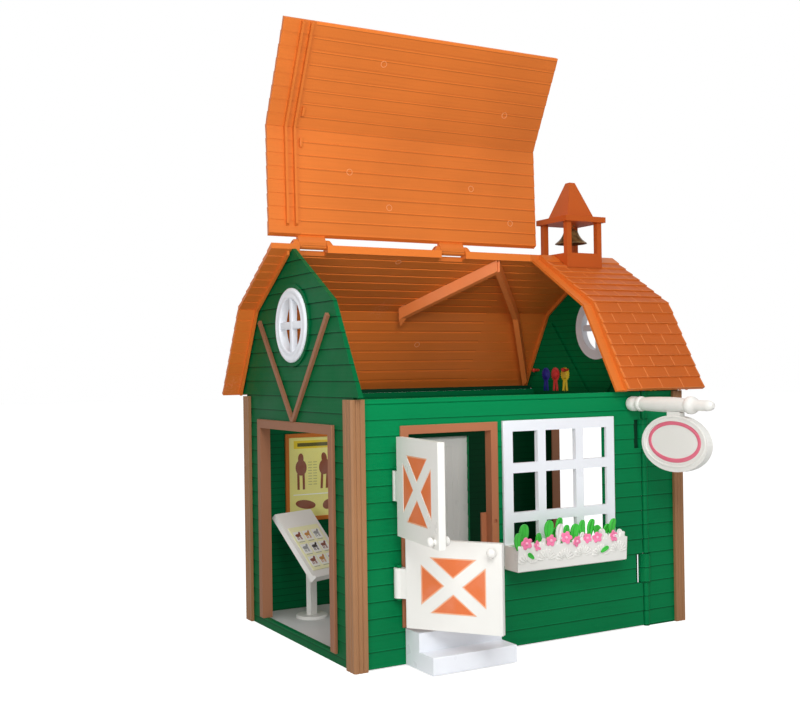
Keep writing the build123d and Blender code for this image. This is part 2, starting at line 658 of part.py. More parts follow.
def build_fixed_front_roof():
    """Fixed front part of the roof at the hinge end, with the lip that the lid closes on."""
    lip = FIXED_ROOF_LEFT - LIP_WIDTH
    with BuildPart() as front_roof:
        with BuildSketch(Plane.YZ.offset(FIXED_ROOF_LEFT)):
            Polygon(*roof_section(-1), align=None)
        extrude(amount=FIXED_ROOF_LENGTH)
        with BuildSketch(Plane.YZ.offset(lip)):
            Polygon(*roof_band(-1, -LID_LIFT, LIP_THICKNESS, SEAT_GAP), align=None)
        extrude(amount=LIP_WIDTH + 4)
        with BuildSketch(Plane.YZ.offset(FIXED_ROOF_LEFT)):
            Polygon(*roof_band(-1, PLANK_STEP + 0.2, LIP_THICKNESS, SEAT_GAP), align=None)
        extrude(amount=4)
        for start in (HALF_LENGTH + RIB_CLEARANCE, INNER_X - RIB_CLEARANCE - RIB_WIDTH):
            with BuildSketch(Plane.YZ.offset(start)):
                Polygon(*roof_band(-1, PLANK_STEP + 0.2, RIB_DEPTH, 3.0), align=None)
            extrude(amount=RIB_WIDTH)
    save(front_roof.part, "fixed_front_roof")


def lid_knuckle(place):
    """Ring round the hinge pin, with an arm to the lid and a lobe that hangs down when it is open."""
    axis_y, axis_z = LID_AXIS.position.Y, LID_AXIS.position.Z
    ridge, knee, _ = roof_line(ROOF_THICKNESS - SHINGLE_STEP + LID_LIFT)
    seat = between(ridge, knee, 0.1)
    arm = [(axis_y, axis_z + KNUCKLE_RADIUS), (-seat[0], seat[1] + 2.4), (-seat[0], seat[1] - 0.4),
           (0, ridge[1] - 1.2), (axis_y, axis_z - KNUCKLE_RADIUS)]
    lobe = radians(LID_OPEN_ANGLE - 90)
    with BuildPart() as knuckle:
        with BuildSketch(Plane.YZ.offset(place - KNUCKLE_LENGTH / 2)):
            with Locations((axis_y, axis_z)):
                Circle(KNUCKLE_RADIUS)
            with Locations((axis_y + KNUCKLE_LOBE_DROP * cos(lobe), axis_z + KNUCKLE_LOBE_DROP * sin(lobe))):
                Circle(KNUCKLE_LOBE_RADIUS)
            Polygon(*arm, align=None)
            with Locations((axis_y, axis_z)):
                Circle(LID_PIN_RADIUS + PIN_CLEARANCE, mode=Mode.SUBTRACT)
        extrude(amount=KNUCKLE_LENGTH)
    return knuckle.part


def build_lid():
    """Lift-up front roof, drawn closed and then turned to its open rest position."""
    with BuildPart() as lid:
        with BuildSketch(Plane.YZ.offset(ROOF_LEFT)):
            Polygon(*roof_section(-1, LID_LIFT), align=None)
        extrude(amount=LID_RIGHT - ROOF_LEFT)
        for start in (-HALF_LENGTH - RIB_CLEARANCE - RIB_WIDTH, -INNER_X + RIB_CLEARANCE):
            with BuildSketch(Plane.YZ.offset(start)):
                Polygon(*roof_band(-1, PLANK_STEP + LID_LIFT + 0.2, RIB_DEPTH, 6.0), align=None)
            extrude(amount=RIB_WIDTH)
        for place in HINGE_PLACES:
            add(lid_knuckle(-HALF_LENGTH + place))
    roof_lid = lid.part.rotate(LID_AXIS, -LID_OPEN_ANGLE)
    save(roof_lid, "roof_lid")


def build_lid_pins():
    """Two plain hinge pins held in the ears."""
    axis_y, axis_z = LID_AXIS.position.Y, LID_AXIS.position.Z
    half = KNUCKLE_LENGTH / 2 + KNUCKLE_SLACK + 3.2
    with BuildPart() as pins:
        for place in HINGE_PLACES:
            with BuildSketch(Plane.YZ.offset(-HALF_LENGTH + place - half)):
                with Locations((axis_y, axis_z)):
                    Circle(LID_PIN_RADIUS)
            extrude(amount=2 * half)
    save(pins.part, "lid_hinge_pins")


def build_roof_brace():
    """Two diagonal rafters under the rear roof that meet at the ridge."""
    ridge_face = RIDGE_GAP + RIDGE_FLANGE + SEAT_GAP
    apex = Vector(-HALF_LENGTH + BRACE_APEX, ridge_face + BRACE_THICKNESS * 0.36)
    with BuildPart() as roof_brace:
        with BuildSketch(Plane.YZ.offset(ROOF_LEFT)):
            Polygon(*roof_band(1, -SEAT_GAP, BRACE_DEPTH, ridge_face), align=None)
        extrude(amount=ROOF_RIGHT - ROOF_LEFT)
        with BuildSketch(Plane.XY):
            for run, side in ((BRACE_LEFT_RUN, -1), (BRACE_RIGHT_RUN, 1)):
                end = apex + Vector(side * run, run)
                Polygon(*bar_outline((apex.X, apex.Y), (end.X, end.Y), BRACE_THICKNESS), align=None)
        extrude(amount=2 * RIDGE_HEIGHT, mode=Mode.INTERSECT)
    save(roof_brace.part, "roof_brace")


# ================================================================ swinging front wall
def build_front_panel():
    """Boarded front wall that swings on two clips, with door and window openings."""
    section = boarded_outline(GROUND_GAP, WALL_HEIGHT, FRONT_FIRST_LINE + BOARD_PITCH, TOP_BAND)
    opening = FRAME_LINING + SEAT_GAP
    pane_x0 = WINDOW_X0 + WINDOW_BORDER
    pane_width = WINDOW_WIDTH - 2 * WINDOW_BORDER
    pane_height = WINDOW_TOP - WINDOW_BOTTOM - 2 * WINDOW_BORDER
    with BuildPart() as front_panel:
        with BuildSketch(Plane.YZ.offset(PANEL_X0)):
            Polygon(*[(-HALF_DEPTH + inward, height) for inward, height in section], align=None)
        extrude(amount=PANEL_X1 - PANEL_X0)
        with BuildSketch(Plane.XZ.offset(HALF_DEPTH)):
            with Locations((DOOR_X0 - opening, DOOR_BOTTOM)):
                Rectangle(DOOR_X1 - DOOR_X0 + 2 * opening, DOOR_TOP + opening - DOOR_BOTTOM, align=Align.MIN)
            with Locations((pane_x0, WINDOW_BOTTOM + WINDOW_BORDER)):
                Rectangle(pane_width, pane_height, align=Align.MIN)
            for centre in CLIP_CENTRES:
                with Locations((PANEL_AXIS_X - SLOT_FROM_AXIS - SLOT_LENGTH, centre)):
                    Rectangle(SLOT_LENGTH, CLIP_HEIGHT, align=(Align.MIN, Align.CENTER))
            with Locations((SIGN_X, SIGN_HEIGHT)):
                Circle(SIGN_PEG_RADIUS + SEAT_GAP)
        extrude(amount=-WALL_THICKNESS, mode=Mode.SUBTRACT)
        for centre in CLIP_CENTRES:
            with BuildSketch(Plane.XY.offset(centre - CLIP_HEIGHT / 2)):
                with Locations((PANEL_AXIS_X, PANEL_AXIS_Y)):
                    Circle(CLIP_RADIUS)
                    Rectangle(PANEL_EDGE_GAP + 1, 3.2, align=(Align.MAX, Align.CENTER))
                    Circle(CLIP_PIN_RADIUS + PIN_CLEARANCE, mode=Mode.SUBTRACT)
                    Rectangle(2.6, CLIP_RADIUS + 1, align=(Align.CENTER, Align.MIN), mode=Mode.SUBTRACT)
            extrude(amount=CLIP_HEIGHT)
        for low, high in (LOWER_CLIP, UPPER_CLIP):
            with BuildSketch(Plane.XY.offset(low - LEAF_BOSS_GAP)):
                with Locations((LEAF_AXIS_X, LEAF_AXIS_Y)):
                    Circle(LEAF_CLIP_RADIUS + LEAF_CLIP_ROOM)
            extrude(amount=high - low + 2 * LEAF_BOSS_GAP, mode=Mode.SUBTRACT)
            add(pin_and_bosses(LEAF_AXIS_X, LEAF_AXIS_Y, low, high, -1))
    save(front_panel.part, "front_panel")


def build_door_frame():
    """Three-sided door frame with a lining through the wall and a keeper strip behind."""
    inside = -HALF_DEPTH + WALL_THICKNESS + FRAME_INSIDE
    width = DOOR_X1 - DOOR_X0
    with BuildPart() as door_frame:
        with BuildSketch(Plane.XZ.offset(HALF_DEPTH)):
            with Locations((DOOR_X0 - FRAME_WIDTH, DOOR_BOTTOM)):
                Rectangle(width + 2 * FRAME_WIDTH, DOOR_TOP + FRAME_WIDTH - DOOR_BOTTOM, align=Align.MIN)
        extrude(amount=FRAME_PROUD)
        chamfer(door_frame.faces().sort_by(Axis.Y)[0].edges(), 0.5)
        with BuildSketch(Plane.XZ.offset(HALF_DEPTH)):
            with Locations((DOOR_X0 - FRAME_LINING, DOOR_BOTTOM)):
                Rectangle(width + 2 * FRAME_LINING, DOOR_TOP + FRAME_LINING - DOOR_BOTTOM, align=Align.MIN)
        extrude(amount=-(WALL_THICKNESS + FRAME_INSIDE))
        with BuildSketch(Plane.XZ.offset(HALF_DEPTH + FRAME_PROUD)):
            with Locations((DOOR_X0, DOOR_BOTTOM)):
                Rectangle(width, DOOR_TOP - DOOR_BOTTOM, align=Align.MIN)
        extrude(amount=-(FRAME_PROUD + WALL_THICKNESS + FRAME_INSIDE), mode=Mode.SUBTRACT)
        with BuildSketch(Plane.XZ.offset(-inside)):
            with Locations((DOOR_X1 + FRAME_LINING, KEEPER_LOW)):
                Rectangle(KEEPER_WIDTH + FRAME_LINING, KEEPER_HIGH - KEEPER_LOW, align=(Align.MAX, Align.MIN))
        extrude(amount=-2.0)
        with BuildSketch(Plane.XZ.offset(HALF_DEPTH + FRAME_PROUD)):
            with Locations((DOOR_X1 + FRAME_WIDTH / 2, LATCH_HOLE_HEIGHT)):
                Circle(LATCH_HOLE_RADIUS)
        extrude(amount=-(FRAME_PROUD - 0.6), mode=Mode.SUBTRACT)
    save(door_frame.part, "door_frame")


def pane_places():
    """Left edge, bottom, width and height of the nine window panes."""
    middle_width = WINDOW_WIDTH - 2 * (WINDOW_BORDER + SIDE_PANE + WINDOW_BAR)
    middle_height = WINDOW_TOP - WINDOW_BOTTOM - 2 * (WINDOW_BORDER + TOP_PANE + WINDOW_BAR)
    panes = []
    left = WINDOW_X0 + WINDOW_BORDER
    for width in (SIDE_PANE, middle_width, SIDE_PANE):
        low = WINDOW_BOTTOM + WINDOW_BORDER
        for height in (TOP_PANE, middle_height, TOP_PANE):
            panes.append((left, low, width, height))
            low += height + WINDOW_BAR
        left += width + WINDOW_BAR
    return panes


def build_window_frame():
    """Nine-light window frame planted on the wall, with a shoulder inside the opening."""
    opening_width = WINDOW_WIDTH - 2 * WINDOW_BORDER - 2 * SEAT_GAP
    opening_height = WINDOW_TOP - WINDOW_BOTTOM - 2 * WINDOW_BORDER - 2 * SEAT_GAP
    centre = (WINDOW_X0 + WINDOW_WIDTH / 2, (WINDOW_TOP + WINDOW_BOTTOM) / 2)
    with BuildPart() as window_frame:
        with BuildSketch(Plane.XZ.offset(HALF_DEPTH)):
            with Locations(centre):
                Rectangle(WINDOW_WIDTH, WINDOW_TOP - WINDOW_BOTTOM)
        extrude(amount=WINDOW_PROUD)
        chamfer(window_frame.faces().sort_by(Axis.Y)[0].edges(), 0.7)
        with BuildSketch(Plane.XZ.offset(HALF_DEPTH)):
            with Locations(centre):
                Rectangle(opening_width, opening_height)
        extrude(amount=-WINDOW_DEEP)
        with BuildSketch(Plane.XZ.offset(HALF_DEPTH + WINDOW_PROUD)):
            for left, low, width, height in pane_places():
                with Locations((left, low)):
                    Rectangle(width, height, align=Align.MIN)
        extrude(amount=-(WINDOW_PROUD + WINDOW_DEEP), mode=Mode.SUBTRACT)
    save(window_frame.part, "window_frame")


def build_flower_box():
    """Open trough hung under the window."""
    x0 = -HALF_LENGTH + BOX_LEFT
    front = -HALF_DEPTH - BOX_DEPTH
    back = -HALF_DEPTH - WINDOW_PROUD - SEAT_GAP
    with BuildPart() as flower_box:
        with BuildSketch(Plane.YZ.offset(x0)):
            section = [(back, BOX_BOTTOM), (back, BOX_BOTTOM + BOX_HEIGHT), (front, BOX_BOTTOM + BOX_HEIGHT),
                       (front + 1.5, BOX_BOTTOM)]
            Polygon(*section, align=None)
        extrude(amount=BOX_LENGTH)
        chamfer(flower_box.faces().sort_by(Axis.Z)[0].edges(), 0.8)
        with BuildSketch(Plane.XY.offset(BOX_BOTTOM + BOX_WALL)):
            with Locations((x0 + BOX_LENGTH / 2, (front + back) / 2 + 0.4)):
                Rectangle(BOX_LENGTH - 2 * BOX_WALL, back - front - 2 * BOX_WALL - 0.8)
        extrude(amount=BOX_HEIGHT, mode=Mode.SUBTRACT)
    save(flower_box.part, "flower_box")


def build_flowers():
    """Foliage block in the trough with upright leaves, and blossoms against the leaves."""
    x0 = -HALF_LENGTH + BOX_LEFT
    middle = -HALF_DEPTH - (BOX_DEPTH + WINDOW_PROUD) / 2
    top = BOX_BOTTOM + BOX_HEIGHT
    leaves = floor((BOX_LENGTH - 2 * BOX_WALL) / LEAF_BLADE_SPACING)
    with BuildPart() as foliage:
        with BuildSketch(Plane.XY.offset(BOX_BOTTOM + BOX_WALL + SEAT_GAP)):
            with Locations((x0 + BOX_LENGTH / 2, middle)):
                Rectangle(BOX_LENGTH - 2 * BOX_WALL - 0.6, BOX_DEPTH - WINDOW_PROUD - 2 * BOX_WALL - 1.6)
        extrude(amount=BOX_HEIGHT - 4)
        for index in range(leaves):
            across = x0 + BOX_WALL + LEAF_BLADE_SPACING * (index + 0.5)
            depth = middle + 2.5 * (-1) ** index
            blade = [(-3.0, -8.0), (3.0, -8.0), (4.6, 1.0), (3.2, 9.0), (0.0, 16.0), (-3.2, 9.0), (-4.6, 1.0)]
            with BuildSketch(Plane.XZ.offset(-depth)):
                Polygon(*[(across + x, top + 3 + z) for x, z in blade], align=None)
            extrude(amount=1.2, both=True)
    save(foliage.part, "flower_foliage")
    soil = BOX_BOTTOM + BOX_WALL + BOX_HEIGHT - 4 + 2 * SEAT_GAP
    back = middle - 3.9
    with BuildPart() as blossoms:
        for index, across in enumerate(BLOSSOM_OFFSETS):
            height = top + 5.5 + 3.0 * (index % 3)
            with BuildSketch(Plane.XZ.offset(-back)):
                with Locations((x0 + across, height)):
                    RegularPolygon(BLOSSOM_RADIUS, 5)
            extrude(amount=3.6)
            with BuildSketch(Plane.XY.offset(soil)):
                with Locations((x0 + across, back - 1.8)):
                    RegularPolygon(BLOSSOM_STEM, 6)
            extrude(amount=height - soil)
    save(blossoms.part, "flower_blossoms")


def build_steps():
    """Two-tread step block under the Dutch door."""
    x0 = -HALF_LENGTH + STEP_LEFT
    with BuildPart() as steps:
        with BuildSketch(Plane.YZ.offset(x0)):
            near = -HALF_DEPTH - SEAT_GAP
            section = [(near, GROUND_GAP), (near, 2 * STEP_RISE), (near - STEP_TREAD, 2 * STEP_RISE),
                       (near - STEP_TREAD, STEP_RISE), (near - 2 * STEP_TREAD, STEP_RISE),
                       (near - 2 * STEP_TREAD, GROUND_GAP)]
            Polygon(*section, align=None)
        extrude(amount=STEP_WIDTH)
        fillet(steps.edges().filter_by(Axis.X).group_by(Axis.Y)[0], 1.0)
    save(steps.part, "door_steps")


def oval(centre, half_width, half_height):
    """Corners of a many-sided oval."""
    turns = [2 * pi * step / SIGN_SIDES for step in range(SIGN_SIDES)]
    return [(centre[0] + half_width * cos(turn), centre[1] + half_height * sin(turn)) for turn in turns]


def build_sign():
    """Turned sign arm with a peg in the wall, and the oval plate that hangs from it."""
    wall = -HALF_DEPTH
    radius = SIGN_ARM_RADIUS
    length = SIGN_ARM_LENGTH
    shape = [(0.3, 0.62), (2.5, 0.92), (7.0, 1.0), (12.0, 0.8), (14.0, 0.8), (15.0, 1.0), (19.0, 1.0),
             (20.0, 0.86), (57.0, 1.0), (80.0, 0.84), (81.5, 1.16), (87.0, 1.16), (89.0, 0.84), (92.0, 0.72),
             (104.0, 0.72), (108.5, 0.62), (length, 0.3)]
    profile = [(along, radius * share) for along, share in shape]
    with BuildPart() as sign_arm:
        add(turned(profile, TURNED_SIDES, (SIGN_X, wall, SIGN_HEIGHT), (0, -1, 0)))
        with BuildSketch(Plane.XZ.offset(HALF_DEPTH + 1)):
            with Locations((SIGN_X, SIGN_HEIGHT)):
                Circle(SIGN_PEG_RADIUS)
        extrude(amount=-(WALL_THICKNESS + 0.4))
    save(sign_arm.part, "sign_arm")
    centre = (wall - SIGN_PLATE_CENTRE, SIGN_HEIGHT - SIGN_PLATE_DROP)
    half_width, half_height = SIGN_PLATE[0] / 2, SIGN_PLATE[1] / 2
    with BuildPart() as sign_plate:
        with BuildSketch(Plane.YZ.offset(SIGN_X - SIGN_PLATE_THICKNESS / 2)):
            Polygon(*oval(centre, half_width, half_height), align=None)
            with Locations((centre[0], SIGN_HEIGHT)):
                Rectangle(SIGN_NECK, SIGN_PLATE_DROP - half_height + 4, align=(Align.CENTER, Align.MAX))
        extrude(amount=SIGN_PLATE_THICKNESS)
        with BuildSketch(Plane.YZ.offset(SIGN_X - SIGN_PLATE_THICKNESS / 2)):
            Polygon(*oval(centre, half_width - SIGN_RIM, half_height - SIGN_RIM), align=None)
        extrude(amount=1.0, mode=Mode.SUBTRACT)
        with BuildSketch(Plane.YZ.offset(SIGN_X + SIGN_PLATE_THICKNESS / 2 - 1.0)):
            Polygon(*oval(centre, half_width - SIGN_RIM, half_height - SIGN_RIM), align=None)
        extrude(amount=1.0, mode=Mode.SUBTRACT)
        with BuildSketch(Plane.XZ.offset(HALF_DEPTH)):
            with Locations((SIGN_X, SIGN_HEIGHT)):
                Circle(radius + SEAT_GAP)
        extrude(amount=SIGN_ARM_LENGTH, mode=Mode.SUBTRACT)
    save(sign_plate.part, "sign_plate")


# ================================================================ door leaves
def inlay_triangles(centre, width, height):
    """Four triangles left between the border and the crossed bars of a leaf."""
    half_width = width / 2 - LEAF_BORDER
    half_height = height / 2 - LEAF_BORDER
    lean = atan2(half_height, half_width)
    gap_x = LEAF_CROSS / 2 / sin(lean)
    gap_z = LEAF_CROSS / 2 / cos(lean)
    x, z = centre
    triangles = []
    for side in (-1, 1):
        triangles.append([(x + side * gap_x, z), (x + side * half_width, z + half_height - gap_z),
                          (x + side * half_width, z - half_height + gap_z)])
        triangles.append([(x, z + side * gap_z), (x + half_width - gap_x, z + side * half_height),
                          (x - half_width + gap_x, z + side * half_height)])
    return triangles


def door_leaf(levels, clip):
    """One leaf, drawn closed: plate, hinge clip, sunk triangles and knobs on both faces."""
    low, high = levels
    x0 = LEAF_AXIS_X + LEAF_FROM_AXIS
    centre = (x0 + LEAF_WIDTH / 2, (low + high) / 2)
    with BuildPart() as leaf:
        with BuildSketch(Plane.XZ.offset(LEAF_FRONT)):
            with Locations(centre):
                Rectangle(LEAF_WIDTH, high - low)
        extrude(amount=-LEAF_THICKNESS)
        chamfer(leaf.edges().filter_by(Axis.Z), 0.6)
        with BuildSketch(Plane.XZ.offset(LEAF_FRONT)):
            for corners in inlay_triangles(centre, LEAF_WIDTH, high - low):
                Polygon(*corners, align=None)
        extrude(amount=-INLAY_DEPTH, mode=Mode.SUBTRACT)
        with BuildSketch(Plane.XZ.offset(LEAF_FRONT - LEAF_THICKNESS)):
            for corners in inlay_triangles(centre, LEAF_WIDTH, high - low):
                Polygon(*corners, align=None)
        extrude(amount=INLAY_DEPTH, mode=Mode.SUBTRACT)
        with BuildSketch(Plane.XY.offset(clip[0])):
            with Locations((LEAF_AXIS_X, LEAF_AXIS_Y)):
                RegularPolygon(LEAF_CLIP_RADIUS, LEAF_CLIP_SIDES)
            with Locations((LEAF_AXIS_X, LEAF_AXIS_Y + LEAF_BACK - LEAF_ARM_INSET)):
                Rectangle(LEAF_FROM_AXIS + 2, LEAF_THICKNESS - 2 * LEAF_ARM_INSET,
                          align=(Align.MIN, Align.MAX))
            with Locations((LEAF_AXIS_X, LEAF_AXIS_Y)):
                Circle(LEAF_PIN_RADIUS + PIN_CLEARANCE, mode=Mode.SUBTRACT)
        extrude(amount=clip[1] - clip[0])
    return leaf.part


def leaf_inlays(levels):
    """Coloured triangles that fill the sunk places on both faces of one leaf."""
    low, high = levels
    centre = (LEAF_AXIS_X + LEAF_FROM_AXIS + LEAF_WIDTH / 2, (low + high) / 2)
    with BuildPart() as inlays:
        for level in (LEAF_FRONT - INLAY_DEPTH, LEAF_FRONT - LEAF_THICKNESS + 0.2):
            with BuildSketch(Plane.XZ.offset(level)):
                for corners in inlay_triangles(centre, LEAF_WIDTH, high - low):
                    Polygon(*corners, align=None)
                offset(amount=-INLAY_FIT, kind=Kind.INTERSECTION)
            extrude(amount=INLAY_DEPTH - 0.2)
    return inlays.part


def knob(origin, direction):
    """Round door knob on a short neck, standing off a face."""
    neck = KNOB_RADIUS * 0.55
    profile = [(0, neck), (2.0, neck), (2.8, KNOB_RADIUS), (KNOB_LENGTH - 1.4, KNOB_RADIUS),
               (KNOB_LENGTH, KNOB_RADIUS * 0.6)]
    return turned(profile, KNOB_SIDES, origin, direction)


def leaf_knobs(height):
    """Round knobs on both faces of a leaf near its free edge."""
    x = LEAF_AXIS_X + LEAF_FROM_AXIS + LEAF_WIDTH - KNOB_FROM_EDGE
    with BuildPart() as knobs:
        for y, side in ((-LEAF_FRONT, -1), (LEAF_THICKNESS - LEAF_FRONT, 1)):
            add(knob((x, y, height), (0, side, 0)))
    return knobs.part


def build_dutch_doors():
    """Lower and upper leaves with their inlays and knobs, turned to their open rest angles."""
    hinge = Axis((LEAF_AXIS_X, LEAF_AXIS_Y, 0), (0, 0, 1))
    leaves = (
        ("lower_door", LOWER_LEAF, LOWER_CLIP, LOWER_OPEN_ANGLE, LOWER_LEAF[1] - LOWER_KNOB_DOWN),
        ("upper_door", UPPER_LEAF, UPPER_CLIP, UPPER_OPEN_ANGLE, UPPER_LEAF[0] + UPPER_KNOB_UP),
    )
    for name, levels, clip, angle, knob_height in leaves:
        save(door_leaf(levels, clip).rotate(hinge, -angle), name)
        save(leaf_inlays(levels).rotate(hinge, -angle), f"{name}_inlays")
        save(leaf_knobs(knob_height).rotate(hinge, -angle), f"{name}_knobs")


def build_rear_door():
    """Planked rear door, closed, with a raised border, clips on its hinge side and a knob."""
    x0 = REAR_AXIS_X + LEAF_FROM_AXIS
    width = REAR_DOOR_WIDTH + 2 * REAR_LEAF_OVERLAP
    low = REAR_DOOR_BOTTOM - REAR_LEAF_OVERLAP
    high = REAR_DOOR_TOP + REAR_LEAF_OVERLAP
    centre = (x0 + width / 2, (low + high) / 2)
    inner = HALF_DEPTH + REAR_LEAF_GAP
    sunk_width = width - 2 * REAR_LEAF_BORDER
    sunk_height = high - low - 2 * REAR_LEAF_BORDER
    pitch = sunk_width / REAR_PLANKS
    with BuildPart() as rear_door:
        with BuildSketch(Plane.XZ.offset(-inner)):
            with Locations(centre):
                Rectangle(width, high - low)
        extrude(amount=-REAR_LEAF_THICKNESS)
        for face, depth in ((inner, -0.7), (inner + REAR_LEAF_THICKNESS, 0.7)):
            with BuildSketch(Plane.XZ.offset(-face)):
                with Locations(centre):
                    Rectangle(sunk_width, sunk_height)
            extrude(amount=depth, mode=Mode.SUBTRACT)
            with BuildSketch(Plane.XZ.offset(-face)):
                with Locations(centre):
                    with GridLocations(pitch, 1, REAR_PLANKS - 1, 1):
                        Rectangle(0.8, sunk_height)
            extrude(amount=1.7 * depth, mode=Mode.SUBTRACT)
        for clip in REAR_CLIPS:
            with BuildSketch(Plane.XY.offset(clip[0])):
                with Locations((REAR_AXIS_X, REAR_AXIS_Y)):
                    RegularPolygon(REAR_CLIP_RADIUS, LEAF_CLIP_SIDES)
                with Locations((REAR_AXIS_X, inner + REAR_LEAF_THICKNESS / 2)):
                    Rectangle(LEAF_FROM_AXIS + 2, REAR_LEAF_THICKNESS - 2 * LEAF_ARM_INSET,
                              align=(Align.MIN, Align.CENTER))
                with Locations((REAR_AXIS_X, REAR_AXIS_Y)):
                    Circle(LEAF_PIN_RADIUS + PIN_CLEARANCE, mode=Mode.SUBTRACT)
            extrude(amount=clip[1] - clip[0])
    save(rear_door.part, "rear_door")
    knob_x = x0 + width - KNOB_FROM_EDGE
    outer = inner + REAR_LEAF_THICKNESS
    save(knob((knob_x, outer, centre[1]), (0, 1, 0)), "rear_door_knob")


# ================================================================ cupola and bell
def build_cupola():
    """Cupola: a base saddled over the ridge with four posts, and a pyramid cap."""
    corner = CUPOLA_HALF - CUPOLA_POST / 2
    cap = CUPOLA_APEX - CUPOLA_EAVE_LOW - CUPOLA_EAVE_THICKNESS
    with BuildPart() as cupola_base:
        with BuildSketch(Plane.XY.offset(RIDGE_HEIGHT - 24)):
            with Locations((CUPOLA_X, 0)):
                Rectangle(2 * CUPOLA_HALF, 2 * CUPOLA_HALF)
        extrude(until=None, amount=CUPOLA_BASE_TOP - RIDGE_HEIGHT + 24)
        for side in (-1, 1):
            with BuildSketch(Plane.YZ.offset(ROOF_LEFT)):
                Polygon(*roof_band(side, ROOF_THICKNESS + SEAT_GAP, 40), align=None)
            extrude(amount=ROOF_RIGHT - ROOF_LEFT, mode=Mode.SUBTRACT)
        with BuildSketch(Plane.XY.offset(CUPOLA_BASE_TOP)):
            with Locations((CUPOLA_X, 0)):
                with GridLocations(2 * corner, 2 * corner, 2, 2):
                    Rectangle(CUPOLA_POST, CUPOLA_POST)
        extrude(amount=CUPOLA_EAVE_LOW - SEAT_GAP - CUPOLA_BASE_TOP)
    save(cupola_base.part, "cupola_frame")
    with BuildPart() as cupola_roof:
        with BuildSketch(Plane.XY.offset(CUPOLA_EAVE_LOW)):
            with Locations((CUPOLA_X, 0)):
                Rectangle(2 * CUPOLA_EAVE_HALF, 2 * CUPOLA_EAVE_HALF)
        extrude(amount=CUPOLA_EAVE_THICKNESS)
        with BuildSketch(Plane.XY.offset(CUPOLA_EAVE_LOW + CUPOLA_EAVE_THICKNESS)):
            with Locations((CUPOLA_X, 0)):
                Rectangle(2 * CUPOLA_CAP_HALF, 2 * CUPOLA_CAP_HALF)
        extrude(amount=cap, taper=degrees(atan2(CUPOLA_CAP_HALF - CUPOLA_APEX_HALF, cap)))
        for side in (-1, 1):
            with BuildSketch(Plane.XZ.offset(side * BELL_EAR_PLACE)):
                with Locations((CUPOLA_X, BELL_PIN_HEIGHT)):
                    Circle(BELL_EAR_HALF)
                    Rectangle(2 * BELL_EAR_HALF, CUPOLA_EAVE_LOW - BELL_PIN_HEIGHT,
                              align=(Align.CENTER, Align.MIN))
            extrude(amount=BELL_EAR_THICKNESS / 2, both=True)
        with BuildSketch(Plane.XZ):
            with Locations((CUPOLA_X, BELL_PIN_HEIGHT)):
                Circle(BELL_PIN_RADIUS + 0.02)
        extrude(amount=CUPOLA_HALF, both=True, mode=Mode.SUBTRACT)
    save(cupola_roof.part, "cupola_roof")


def bell_profile(inset, low, high):
    """Flared side of the bell as (height, radius) points, moved inwards between two heights."""
    flare = ((0.0, 1.0), (0.25, 0.76), (0.7, 0.49), (1.0, 0.38))
    return [(low + (high - low) * up, BELL_RADIUS * out - inset) for up, out in flare]


def build_bell():
    """Hollow flared bell with a lug on a cross pin, and a clapper on a bar inside it."""
    top = BELL_BOTTOM + BELL_HEIGHT
    crown = top - 1.0
    clapper_pin = top - CLAPPER_PIN_DROP
    lug = BELL_PIN_RADIUS + 0.95
    centre = (CUPOLA_X, 0, 0)
    outer = bell_profile(0.0, BELL_BOTTOM, crown) + [(top, lug + 0.4)]
    inner = bell_profile(BELL_WALL, BELL_BOTTOM, crown - BELL_WALL)
    with BuildPart() as bell:
        add(turned(outer, BELL_SIDES, centre, (0, 0, 1)))
        add(turned(inner, BELL_SIDES, centre, (0, 0, 1)), mode=Mode.SUBTRACT)
        with BuildSketch(Plane.XZ):
            with Locations((CUPOLA_X, clapper_pin)):
                Circle(CLAPPER_PIN_RADIUS)
        extrude(amount=BELL_RADIUS * 0.44, both=True)
        with BuildSketch(Plane.XZ):
            with Locations((CUPOLA_X, BELL_PIN_HEIGHT)):
                Circle(lug)
            with Locations((CUPOLA_X, top - 0.8)):
                Rectangle(2 * lug - 0.6, BELL_PIN_HEIGHT - top + 0.8, align=(Align.CENTER, Align.MIN))
        extrude(amount=2.2, both=True)
        with BuildSketch(Plane.XZ):
            with Locations((CUPOLA_X, BELL_PIN_HEIGHT)):
                Circle(BELL_PIN_RADIUS + PIN_CLEARANCE)
        extrude(amount=6, both=True, mode=Mode.SUBTRACT)
    save(bell.part, "bell")
    bead = [(CLAPPER_BALL * sin(turn * pi / 8), CLAPPER_BALL * cos(turn * pi / 8)) for turn in (-3, -1, 1, 3)]
    with BuildPart() as clapper:
        with BuildSketch(Plane.XZ):
            with Locations((CUPOLA_X, clapper_pin)):
                Circle(CLAPPER_PIN_RADIUS + 0.9)
                Rectangle(1.4, CLAPPER_LENGTH, align=(Align.CENTER, Align.MAX))
                Circle(CLAPPER_PIN_RADIUS + PIN_CLEARANCE, mode=Mode.SUBTRACT)
        extrude(amount=0.8, both=True)
        add(turned(bead, KNOB_SIDES, (CUPOLA_X, 0, clapper_pin - CLAPPER_LENGTH), (0, 0, 1)))
    save(clapper.part, "clapper")
    with BuildPart() as bell_pin:
        with BuildSketch(Plane.XZ):
            with Locations((CUPOLA_X, BELL_PIN_HEIGHT)):
                Circle(BELL_PIN_RADIUS)
        extrude(amount=BELL_EAR_PLACE + BELL_EAR_THICKNESS / 2 - 0.2, both=True)
    save(bell_pin.part, "bell_pin")


